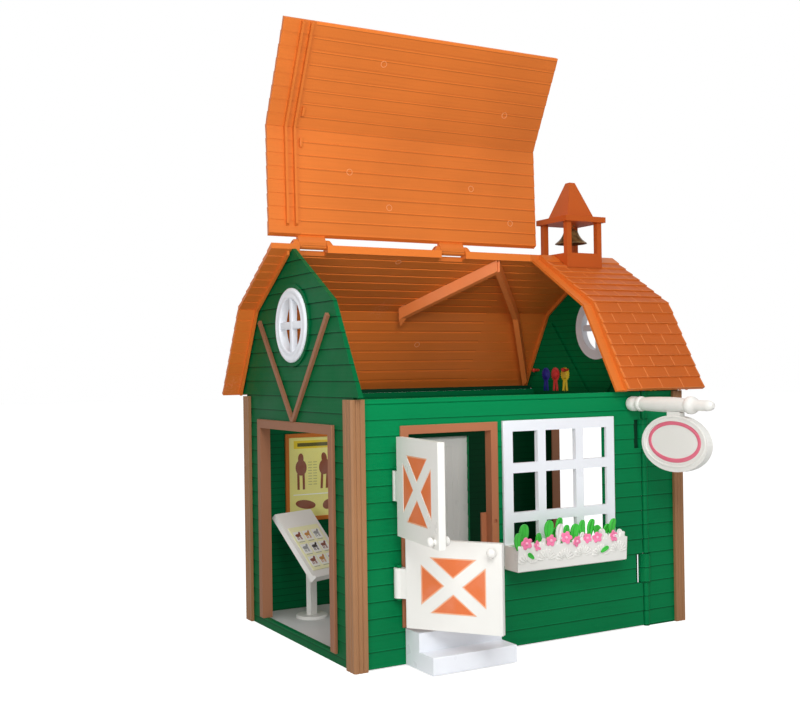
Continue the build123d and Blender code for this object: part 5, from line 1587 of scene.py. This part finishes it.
# ---------------------------------------------------------------- flower box
@dataclass
class FlowerTrough:
    """Moulded relief on the box, paddle-shaped leaves, blossoms and a few bare white leaves."""

    crew: Crew
    leaf_size: Place = (8.8 * MM, 2.4 * MM, 16.0 * MM)
    leaves: tuple[tuple[float, ...], ...] = (
        (2.0, 12.5, 1.0, -8, 2), (9.5, 19.0, 1.1, 4, 6), (28.0, 10.5, 0.95, -14, 5), (24.0, 7.0, 0.8, 16, 8),
        (37.0, 20.5, 1.05, 6, 6), (50.0, 22.0, 1.1, -3, 6), (58.5, 15.5, 0.95, -12, 4), (66.5, 15.0, 1.0, 10, 7),
        (76.5, 18.0, 1.05, -8, 5), (85.5, 18.0, 1.0, 8, 7), (98.5, 14.5, 1.0, -30, 4), (111.0, 16.5, 1.1, 3, 6),
        (93.0, -3.0, 0.55, 60, -0.5), (16.5, -2.5, 0.5, -50, -0.5), (44.0, 13.0, 0.9, 12, 10),
        (104.5, 12.0, 0.9, 14, 9))
    bare_leaves: tuple[tuple[float, ...], ...] = (
        (46.5, 17.0, 1.0, 5, 3), (97.0, 9.0, 0.9, -6, 2), (71.0, 8.0, 0.7, 8, 2), (30.0, 6.0, 0.7, -9, 2),
        (116.0, 7.0, 0.7, 6, 2))
    leaf_turns: tuple[int, ...] = (10, -22, 16)
    leaf_outline: tuple[Point, ...] = ((0.0, 0.35), (1 / 3, 0.8), (1.0, 0.72))
    leaf_tip: float = 0.07
    leaf_curl: float = 0.10
    midrib_sunk: float = 0.45
    blossoms: tuple[tuple[float, ...], ...] = (
        (8.6, 3.9, 1.15), (21.0, 0.5, 0.95), (35.4, 4.2, 1.1), (53.6, 5.0, 1.15), (64.5, 1.0, 1.05),
        (77.8, 2.4, 0.95), (88.7, 2.6, 1.05), (108.5, 1.8, 1.1))
    blossom_profile: tuple[Point, ...] = ((0.0, 4.6), (0.9, 5.4), (1.5, 4.8), (1.2, 2.2), (0.9, 1.0))
    petal_reach: float = 4.0 * MM
    valley: float = 0.62
    cup: float = 0.5 * MM
    heart_profile: tuple[Point, ...] = ((0.6, 1.3), (1.5, 1.3), (2.1, 0.95), (2.4, 0.4))
    bed_size: Place = (6.0 * MM, 16.0 * MM, 9.0 * MM)
    bed_at: Point = (11.4 * MM, 6.5 * MM)
    bed_ease: float = 1.5 * MM
    mound: float = 1.4 * MM
    mounds: int = 9
    rib_size: Place = (2.3 * MM, 1.7 * MM, 8.6 * MM)
    fans: int = 6
    fan_turns: tuple[int, ...] = tuple(range(-80, 81, 20))
    fan_reach: float = 2.2 * MM
    fan_size: float = 0.95
    between_turns: tuple[int, ...] = (-50, -17, 17, 50)
    between_size: float = 0.62
    fan_foot: Place = (0.9 * MM, 7.0 * MM, 1.5 * MM)
    between_foot: Point = (1.0 * MM, 15.0 * MM)
    lump_pitch: float = 3.4 * MM
    lump_size: Place = (1.7, 1.5, 0.85)
    lump_foot: Point = (1.2 * MM, 6.6 * MM)
    lump_lean: float = 34.0
    lean: float = 3.9

    def build(self) -> None:
        """Make and place everything in and on the box."""
        low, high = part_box("flower_box")
        self.x0, self.top, self.front = low.x, high.z, low.y
        self.length, self.bottom = high.x - low.x, low.z
        self.build_leaves()
        self.build_blossoms()
        self.build_relief()

    def leaf(self) -> Piece:
        """One upright leaf, its foot at the origin: narrow foot, rounded tip, sunk midrib, curled forward.

        Returns:
            The leaf.
        """
        wide, deep, tall = self.leaf_size
        leaf = block("leaf", (0, 0, tall / 2), self.leaf_size)
        open_edit()
        bpy.ops.mesh.subdivide(number_cuts=2)
        for part, width in self.leaf_outline:
            level = tall * part
            pick_points(leaf, lambda at, level=level: abs(at.z - level) < tall / 9)
            resize((width, 1, 1), (0, 0, level))
        pick_points(leaf, lambda at: at.z > tall * 0.9 and abs(at.x) < wide / 5)
        shift(0, 0, tall * self.leaf_tip)
        pick_faces(leaf, lambda face: face.normal.y < -0.7 and abs(face.center.x) < wide / 8)
        bpy.ops.mesh.inset(thickness=wide / 26)
        shift(0, deep * self.midrib_sunk, 0)
        pick_points(leaf, lambda at: at.z > tall * 0.8)
        shift(0, -tall * self.leaf_curl, 0)
        return apply_modifier(leaf, "SUBSURF", levels=2, render_levels=2)

    def build_leaves(self) -> None:
        """Green leaves behind the blossoms and bare white ones between them."""
        tall = self.leaf_size[2]
        for name, finish, slot, leaves, node in (
            ("flower_leaves", "leaf_green", "leaf_green", self.leaves, "flower_foliage"),
            ("bare_leaves", "warm_white", "white_trim", self.bare_leaves, ""),
        ):
            places = []
            for index, (along, up, size, tilt, back) in enumerate(leaves):
                foot = moved(self.x0 + along * MM, self.front + back * MM, self.top + up * MM - tall * size)
                turn = spun("Y", tilt) @ spun("Z", self.leaf_turns[index % 3])
                places.append(foot @ turn @ Matrix.Scale(size, 4))
            parts = copies(self.leaf(), places)
            if node:
                parts.append(self.soil())
            self.crew.keep(smooth(joined(parts, name), angle=60), finish, "front_wall", slot, node)

    def soil(self) -> Piece:
        """The bed that the leaves grow from: a block raised in low mounds.

        Returns:
            The bed.
        """
        back, down = self.bed_at
        shorter, deep, tall = self.bed_size
        middle, pitch = self.top - down, self.length / self.mounds
        bed = block("bed", (self.x0 + self.length / 2, self.front + back, middle),
                    (self.length - shorter, deep, tall), self.bed_ease, 2)
        open_edit()
        bpy.ops.mesh.subdivide(number_cuts=6)
        level = middle + tall / 2 - 0.5 * MM
        pick_points(bed, lambda at: at.z > level and (at.x - self.x0) % pitch < pitch / 2)
        shift(0, 0, self.mound)
        close_edit()
        return bed

    def blossom(self) -> Piece:
        """One five-petalled blossom that faces -Y: a disc with drawn-in valleys and cupped petals.

        Returns:
            The blossom.
        """
        flower = turned("blossom", in_mm(self.blossom_profile), 20)
        pick_points(flower, lambda at: hypot(at.x, at.y) > self.petal_reach and petal_part(at) < 0.1)
        resize((self.valley, self.valley, 1))
        pick_points(flower, lambda at: hypot(at.x, at.y) > self.petal_reach and petal_part(at) > 0.4)
        shift(0, 0, self.cup)
        apply_modifier(flower, "SUBSURF", levels=2, render_levels=2)
        return pose(face_out(flower), facing((0, 0, 0), (0, -1, 0)))

    def build_blossoms(self) -> None:
        """Blossoms along the front edge, each with a raised heart."""
        places = []
        for index, (along, up, size) in enumerate(self.blossoms):
            at = moved(self.x0 + along * MM, self.front + (0.2 + 0.8 * (index % 2)) * MM, self.top + up * MM)
            tilt = spun("Z", (-10, 14, -4)[index % 3]) @ spun("X", (6, -8)[index % 2]) @ spun("Y", 13.0 * index)
            places.append(at @ tilt @ Matrix.Scale(size, 4))
        petals = joined(copies(self.blossom(), places), "blossom_petals")
        self.crew.keep(smooth(petals, angle=50), "petal_pink", "front_wall", "petal_pink", "flower_blossoms")
        heart = turned("heart", in_mm(self.heart_profile), 14)
        pose(heart, facing((0, 0, 0), (0, -1, 0)))
        hearts = joined(copies(heart, places), "blossom_hearts")
        self.crew.keep(smooth(hearts, angle=50), "petal_heart", "front_wall", "petal_pink")

    def rib(self) -> Piece:
        """One drop-shaped rib of a fan, its foot at the origin and its broad end up.

        Returns:
            The rib.
        """
        tall = self.rib_size[2]
        rib = block("rib", (0, 0, tall / 2), self.rib_size)
        open_edit()
        bpy.ops.mesh.subdivide(number_cuts=1)
        pick_points(rib, lambda at: at.z < tall * 0.1)
        resize((0.25, 0.5, 1))
        pick_points(rib, lambda at: at.z > tall * 0.9)
        resize((1.1, 0.8, 1), (0, 0, tall))
        return apply_modifier(rib, "SUBSURF", levels=1, render_levels=1)

    def build_relief(self) -> None:
        """Shell fans all over the front and a lumpy rim of moulded growth above it."""
        pitch = self.length / self.fans
        lean = spun("X", self.lean)
        reach = moved(0, 0, self.fan_reach) @ Matrix.Scale(self.fan_size, 4)
        small = Matrix.Scale(self.between_size, 4)
        proud, up, stagger = self.fan_foot
        places = []
        for fan in range(self.fans):
            centre = self.x0 + pitch * (fan + 0.5)
            foot = moved(centre, self.front + proud, self.bottom + up + (fan % 2) * stagger) @ lean
            places += [foot @ spun("Y", turn) @ reach for turn in self.fan_turns]
            if fan < self.fans - 1:
                out, rise = self.between_foot
                between = moved(centre + pitch / 2, self.front + out, self.bottom + rise) @ lean
                places += [between @ spun("Y", 180 + turn) @ small for turn in self.between_turns]
        lumps = int(self.length / self.lump_pitch)
        out, down = self.lump_foot
        for index in range(lumps):
            rise = (1.0 + 1.6 * abs(sin(index * 1.9)) + 1.0 * abs(sin(index * 0.7)) + 1.2 * index / lumps) * MM
            at = moved(self.x0 + (index + 0.5) * self.length / lumps, self.front + out, self.top + rise - down)
            turn = spun("Y", self.lump_lean * sin(index * 2.3))
            places.append(at @ turn @ Matrix.Diagonal((*self.lump_size, 1.0)))
        piece = smooth(joined(copies(self.rib(), places), "flower_box_relief"), angle=60)
        self.crew.keep(piece, "warm_white", "front_wall", "white_trim")


def petal_part(at: Vector) -> float:
    """How far a point lies from the nearest valley between two petals, from 0 to 0.5."""
    turn = (atan2(at.y, at.x) / (2 * pi) * 5) % 1.0
    return min(turn, 1.0 - turn)


# ---------------------------------------------------------------- hanging sign
@dataclass
class HangingSign:
    """Smooth turned arm, and a pink ring and a raised bead on both faces of the plate."""

    crew: Crew
    arm_radius: float = 7.2 * MM
    arm_height: float = 218.6 * MM
    wall: float = 122.0 * MM
    sides: int = 48
    profile: tuple[Point, ...] = (
        (0.3, 0.50), (0.4, 0.62), (2.5, 0.92), (4.5, 1.0), (7.0, 1.0), (9.5, 0.96), (11.0, 0.88), (12.0, 0.80),
        (14.0, 0.80), (15.0, 0.97), (16.0, 1.0), (18.0, 1.0), (19.0, 0.97), (20.0, 0.86), (28.0, 0.93), (40.0, 0.98),
        (57.0, 1.0), (66.0, 0.96), (74.0, 0.90), (80.0, 0.84), (81.0, 1.05), (82.0, 1.14), (84.0, 1.16), (86.0, 1.14),
        (87.5, 1.05), (89.0, 0.84), (92.0, 0.72), (104.0, 0.72), (107.5, 0.66), (110.0, 0.52), (112.0, 0.28))
    centre_up: float = 28.0 * MM
    ring: Point = (32.4 * MM, 17.4 * MM)
    ring_section: tuple[Point, ...] = ((-0.4, 1.9), (0.3, 1.9), (0.5, 1.5), (0.5, -1.5), (0.3, -1.9), (-0.4, -1.9))
    bead: Point = (40.2 * MM, 23.2 * MM)
    bead_section: tuple[Point, ...] = ((-0.4, 1.1), (0.1, 1.1), (0.5, 0.6), (0.5, -0.6), (0.1, -1.1), (-0.4, -1.1))
    sunk: float = 1.0 * MM

    def build(self) -> None:
        """Make the arm, the rings and the beads."""
        low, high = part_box("sign_plate")
        middle = (low + high) / 2
        profile = [(along * MM, self.arm_radius * out) for along, out in self.profile]
        arm = turned("sign_arm_smooth", profile, self.sides)
        pose(arm, facing((middle.x, -self.wall, self.arm_height), (0, -1, 0)))
        self.crew.keep(smooth(arm, angle=40), "warm_white", "front_wall", "white_trim", "sign_arm")
        for name, finish, slot, half, section, sunk in (
            ("sign_ring", "sign_pink", "petal_pink", self.ring, self.ring_section, self.sunk),
            ("sign_rim_bead", "warm_white", "white_trim", self.bead, self.bead_section, 0.0),
        ):
            places = [
                Matrix(((0, 0, side, face), (1, 0, 0, middle.y), (0, 1, 0, low.z + self.centre_up), (0, 0, 0, 1)))
                for face, side in ((low.x + sunk, -1), (high.x - sunk, 1))
            ]
            piece = face_out(joined(copies(hoop(name, half, in_mm(section)), places), name))
            self.crew.keep(smooth(piece, angle=50), finish, "front_wall", slot)


# ---------------------------------------------------------------- bell, knobs and pegs
@dataclass
class TurnedPieces:
    """Smooth turned pieces: bell, clapper, door knobs and coat pegs."""

    crew: Crew
    leaf_half: float = 3.1 * MM
    bell_shape: tuple[Point, ...] = (
        (0.0, 1.0), (0.5, 1.0), (1.2, 0.95), (2.4, 0.86), (4.0, 0.75), (6.5, 0.63), (9.0, 0.54), (11.5, 0.48),
        (13.3, 0.44), (14.6, 0.37), (15.4, 0.27), (15.9, 0.14), (16.0, 0.03))
    clapper_shape: tuple[Point, ...] = (
        (0.0, 0.5), (0.3, 1.2), (1.0, 1.95), (2.3, 2.3), (3.6, 1.95), (4.3, 1.2), (4.8, 0.75), (10.4, 0.65),
        (10.9, 1.2), (11.9, 1.5), (12.9, 1.2), (13.3, 0.6))
    knob_shape: tuple[Point, ...] = (
        (-0.2, 2.0), (0.0, 2.6), (0.4, 2.2), (1.6, 2.0), (2.2, 2.7), (2.8, 3.6), (3.6, 4.0), (4.7, 3.9), (5.6, 3.3),
        (6.2, 2.3), (6.5, 1.0))
    peg_shape: tuple[Point, ...] = (
        (0.0, 1.4), (5.0, 1.4), (5.4, 1.9), (6.2, 2.35), (7.4, 2.4), (8.4, 2.1), (9.1, 1.4), (9.4, 0.6))
    peg_radius: float = 2.4 * MM
    bell_wall: float = 1.3 * MM
    lug_size: Place = (3.6 * MM, 4.2 * MM, 4.6 * MM)
    lug_down: float = 2.6 * MM
    lug_ease: float = 1.1 * MM

    def build(self) -> None:
        """Make every turned piece."""
        self.build_bell()
        self.build_clapper()
        self.build_knobs()
        self.build_pegs()

    def build_bell(self) -> None:
        """Flared shell with a lip, a domed crown and a lug."""
        low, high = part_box("bell")
        x, radius = (low.x + high.x) / 2, (high.x - low.x) / 2
        profile = [(low.z + up * MM, radius * out) for up, out in self.bell_shape]
        bell = pose(turned("bell_smooth", profile, 48, filled=False), moved(x, 0, 0))
        apply_modifier(bell, "SOLIDIFY", thickness=self.bell_wall, offset=-1.0)
        lug = block("bell_lug", (x, 0, high.z - self.lug_down), self.lug_size, self.lug_ease, 3)
        piece = smooth(joined([bell, lug], "bell_smooth"), angle=35)
        self.crew.keep(piece, "bell_brass", "bell_body", "bell_metal", "bell")

    def build_clapper(self) -> None:
        """Rod with a small knob at the top and a ball below."""
        low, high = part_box("clapper")
        rod = turned("clapper_smooth", [(low.z + up * MM, out * MM) for up, out in self.clapper_shape], 20)
        pose(rod, moved((low.x + high.x) / 2, 0, 0))
        self.crew.keep(smooth(rod, angle=50), "bell_brass", "clapper_body", "bell_metal", "clapper")

    def knob(self, name: str, origin: Place, direction: Place) -> Piece:
        """One mushroom-shaped door knob.

        Args:
            name: The piece's name.
            origin: Centre of its foot.
            direction: Where it points.

        Returns:
            The knob.
        """
        return pose(turned(name, in_mm(self.knob_shape), 28), facing(origin, direction))

    def build_knobs(self) -> None:
        """Knobs on both faces of the Dutch leaves and on the rear door."""
        for leaf, angle in LEAF_ANGLES.items():
            low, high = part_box(f"{leaf}_door_knobs")
            across = Vector((-sin(radians(angle)), -cos(radians(angle)), 0.0))
            knobs = [self.knob("knob", tuple((low + high) / 2 + across * self.leaf_half * side), tuple(across * side))
                     for side in (1, -1)]
            piece = smooth(joined(knobs, f"{leaf}_door_knobs_smooth"), angle=40)
            self.crew.keep(piece, "warm_white", f"{leaf}_leaf", "white_trim", f"{leaf}_door_knobs")
        low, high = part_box("rear_door_knob")
        knob = self.knob("rear_knob_smooth", ((low.x + high.x) / 2, low.y, (low.z + high.z) / 2), (0, 1, 0))
        self.crew.keep(smooth(knob, angle=40), "warm_white", "rear_leaf", "white_trim", "rear_door_knob")

    def build_pegs(self) -> None:
        """Two round coat pegs on the gable's inner face."""
        low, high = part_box("coat_pegs")
        pegs = []
        for y in (low.y + self.peg_radius, high.y - self.peg_radius):
            peg = turned("peg", in_mm(self.peg_shape), 20)
            pegs.append(pose(peg, facing((high.x, y, (low.z + high.z) / 2), (-1, 0, 0))))
        self.crew.keep(smooth(joined(pegs, "pegs_smooth"), angle=40), "peg_red", "barn", "petal_pink", "coat_pegs")


# ---------------------------------------------------------------- rosettes, poster and chart
@dataclass
class Rosettes:
    """Five prize rosettes: pleated discs with a button and two notched tails."""

    crew: Crew
    places: tuple[tuple[float, str], ...] = (
        (-0.091, "ribbon_yellow"), (-0.073, "ribbon_blue"), (0.055, "ribbon_yellow"), (0.073, "ribbon_red"),
        (0.091, "ribbon_blue"))
    pleats: int = 18
    disc: tuple[Point, ...] = ((0.0, 7.8), (1.0, 8.2), (1.5, 7.4), (1.2, 5.2))
    button: tuple[Point, ...] = ((1.1, 4.4), (2.0, 4.4), (2.5, 3.9), (2.7, 2.4))
    pleat_reach: float = 7.0 * MM
    pleat_size: Place = (0.86, 0.86, 0.7)
    tail: Place = (1.0 * MM, 3.2 * MM, 15.4 * MM)
    tail_ease: float = 0.2 * MM
    tail_foot: Place = (0.7 * MM, 1.4 * MM, 4.0 * MM)
    tail_spread: float = 7.0
    notch: float = 1.6 * MM
    drop: float = 1.6 * MM

    def build(self) -> None:
        """Make the rosettes, one piece for each colour, and their buttons."""
        low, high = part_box("prize_rosettes")
        by_finish: dict[str, list[Piece]] = {}
        for y, finish in self.places:
            centre = (high.x, y, high.z - self.drop)
            by_finish.setdefault(finish, []).extend([self.pleated(centre), *self.tails(centre)])
            button = pose(turned("button", in_mm(self.button), 24), facing(centre, (-1, 0, 0)))
            by_finish.setdefault("ribbon_gold" if finish == "ribbon_yellow" else finish, []).append(button)
        for index, (finish, parts) in enumerate(by_finish.items()):
            piece = smooth(joined(parts, f"rosettes_{finish}"), angle=40)
            self.crew.keep(piece, finish, "barn", "ribbon", "prize_rosettes" if index == 0 else "")

    def pleated(self, centre: Place) -> Piece:
        """A disc whose edge is drawn in at every other point, like pleats.

        Args:
            centre: Centre of its back on the wall.

        Returns:
            The disc.
        """

        def is_valley(at: Vector) -> bool:
            """Whether a point is one of the edge's drawn-in points."""
            return hypot(at.x, at.y) > self.pleat_reach and round(atan2(at.y, at.x) / pi * self.pleats) % 2 == 0

        disc = turned("disc", in_mm(self.disc), 2 * self.pleats)
        pick_points(disc, is_valley)
        resize(self.pleat_size)
        close_edit()
        return pose(disc, facing(centre, (-1, 0, 0)))

    def tails(self, centre: Place) -> list[Piece]:
        """Two ribbon tails, notched at their ends.

        Args:
            centre: Centre of the disc's back.

        Returns:
            The tails.
        """
        tails = []
        proud, aside, down = self.tail_foot
        for side in (-1, 1):
            tail = block("tail", (0, 0, -self.tail[2] / 2), self.tail, self.tail_ease)
            open_edit()
            bpy.ops.mesh.subdivide(number_cuts=1)
            pick_points(tail, lambda at: at.z < -0.9 * self.tail[2] and abs(at.y) < 0.3 * MM)
            shift(0, 0, self.notch)
            close_edit()
            foot = moved(centre[0] - proud, centre[1] + side * aside, centre[2] - down)
            tails.append(pose(tail, foot @ spun("X", self.tail_spread * side)))
        return tails


@dataclass
class Printed:
    """Plain printed panels on the poster and on the chart: bands, blots and rules, no words."""

    crew: Crew
    skin: float = 0.16 * MM
    ease: float = 0.05 * MM
    poster_marks: tuple[tuple, ...] = (
        ("poster_band", "patch", 0.10, 0.86, 0.80, 0.10, 1.0, 0),
        ("poster_ink", "patch", 0.17, 0.885, 0.66, 0.045, 1.6, 0),
        ("card_white", "patch", 0.08, 0.275, 0.84, 0.012, 1.2, 0))
    upright_blots: tuple[Point, ...] = ((0.13, 2), (0.60, -10))
    low_blots: tuple[tuple, ...] = (
        ("poster_brown", "blot", 0.12, 0.10, 0.40, 0.11, 1.5, -9),
        ("poster_brown", "blot", 0.66, 0.08, 0.22, 0.12, 1.5, 24))
    rules: int = 18
    card_share: Point = (0.92, 0.74)
    card_corner: Point = (0.04, 0.03)
    card_ease: float = 0.15 * MM
    card_finishes: tuple[str, ...] = ("card_brown", "card_tan", "card_grey", "card_black")

    def build(self) -> None:
        """Lay out the poster and the chart card."""
        self.build_poster()
        self.build_chart()

    def patch(self, wide: float, tall: float, proud: float) -> Piece:
        """A flat oblong with eased edges round the origin, facing +Z."""
        return block("patch", (0, 0, proud / 2), (wide, tall, proud), self.ease)

    def blot(self, wide: float, tall: float, proud: float) -> Piece:
        """A flat rounded blot round the origin, facing +Z."""
        edge, top = (wide / 2, tall / 2), (0.44 * wide, 0.44 * tall)
        return grown("blot", ((0, *edge), (0.6 * proud, *edge), (proud, *top)), 24)

    def lay(self, name: str, sheet: Matrix, size: Point, marks: Iterable[tuple]) -> None:
        """Make marks on a sheet and hand them over, one piece for each finish.

        Args:
            name: The start of the pieces' names.
            sheet: The place of the sheet's lower left corner, +X across it, +Y up it and +Z out of it.
            size: The sheet's width and height.
            marks: (finish, shape, left, bottom, width, height, layers, lean), by shares of the sheet.
        """
        groups: dict[str, list[Piece]] = {}
        for finish, shape, left, bottom, wide, tall, layers, lean in marks:
            make = self.blot if shape == "blot" else self.patch
            piece = make(wide * size[0], tall * size[1], self.skin * layers)
            at = moved((left + wide / 2) * size[0], (bottom + tall / 2) * size[1], 0.0)
            groups.setdefault(finish, []).append(pose(piece, sheet @ at @ spun("Z", lean)))
        for finish, parts in groups.items():
            self.crew.keep(joined(parts, f"{name}_{finish}"), finish, "barn", "printed_card")

    def build_poster(self) -> None:
        """Header band, upright and lying blots, and thin rules on the poster sheet."""
        low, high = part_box("poster_sheet")
        sheet = Matrix(((1, 0, 0, low.x), (0, 0, -1, low.y), (0, 1, 0, low.z), (0, 0, 0, 1)))
        marks = list(self.poster_marks)
        for left, lean in self.upright_blots:
            marks += [
                ("poster_brown", "blot", left, 0.52, 0.22, 0.20, 1.5, lean),
                ("poster_brown", "blot", left + 0.05, 0.66, 0.11, 0.14, 1.7, -lean),
                *(("poster_brown", "patch", left + foot, 0.345, 0.045, 0.20, 1.6, lean / 3)
                  for foot in (0.03, 0.135))]
        for index in range(self.rules):
            left, bottom = 0.38 + 0.10 * (index % 2), 0.40 + 0.035 * (index // 2)
            marks.append(("poster_rule", "patch", left, bottom, 0.075, 0.009, 1.2, 0))
        marks += self.low_blots
        self.lay("poster", sheet, (high.x - low.x, high.z - low.z), marks)

    def build_chart(self) -> None:
        """A cream card on the lower part of the tilted board, with rows of blots and rules."""
        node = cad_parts["chart_card"]
        upward = (face for face in node.data.polygons if face.normal.z > 0.2)
        normal = max(upward, key=lambda face: face.area).normal.copy()
        across = Vector((0, 0, 1)).cross(normal).normalized()
        axes = (across, normal.cross(across).normalized(), normal)
        points = [point.co for point in node.data.vertices]
        low, high = ([limit(point.dot(axis) for point in points) for axis in axes] for limit in (min, max))
        wide, tall, thick = (end - start for start, end in zip(low, high))
        aside, raised = self.card_corner
        corner = Matrix(axes).transposed().to_4x4() @ moved(low[0] + aside * wide, low[1] + raised * tall, low[2])
        size = (self.card_share[0] * wide, self.card_share[1] * tall)
        card = block("chart_card_print", (size[0] / 2, size[1] / 2, thick / 2), (*size, thick), self.card_ease)
        self.crew.keep(pose(card, corner), "card_cream", "barn", "printed_card", "chart_card")
        marks = [mark for row in range(3) for column in range(3) for mark in self.cell(row, column)]
        self.lay("chart", corner @ moved(0, 0, thick), size, marks)

    def cell(self, row: int, column: int) -> list[tuple]:
        """Marks of one cell of the chart: a pale panel, blots, short uprights and a rule.

        Args:
            row: Row from the top.
            column: Column from the left.

        Returns:
            The marks.
        """
        finish = self.card_finishes[(row * 2 + column) % 4]
        left, bottom = 0.06 + column * 0.31, 0.10 + (2 - row) * 0.29
        return [
            ("card_white", "patch", left - 0.01, bottom - 0.01, 0.27, 0.22, 0.6, 0),
            (finish, "blot", left + 0.02, bottom + 0.09, 0.18, 0.07, 1.3, 0),
            (finish, "blot", left + 0.15, bottom + 0.12, 0.06, 0.09, 1.5, -35),
            *((finish, "patch", left + foot, bottom + 0.025, 0.02, 0.09, 1.2, 0)
              for foot in (0.04, 0.08, 0.14, 0.17)),
            ("card_grey", "patch", left + 0.03, bottom - 0.035, 0.19, 0.012, 1.0, 0)]


def main() -> None:
    """Build the barn's looks in order."""
    logging.basicConfig(level=logging.INFO, format="%(message)s")
    Studio().build()
    finishes = Finishes()
    finishes.build()
    ShellDresser(finishes).dress()
    crew, line = Crew(finishes), GambrelLine()
    parts = (EaveShadeStrip, SlotShadeSheets, RoundWindows, DoorPanels, FlowerTrough, HangingSign, TurnedPieces, Rosettes,
             Printed)
    for assembly in (Shingles(crew, line), MouldMarks(crew, line), *(part(crew) for part in parts)):
        assembly.build()
        LOG.info("done: %s", type(assembly).__name__)


if __name__ == "__main__":
    main()
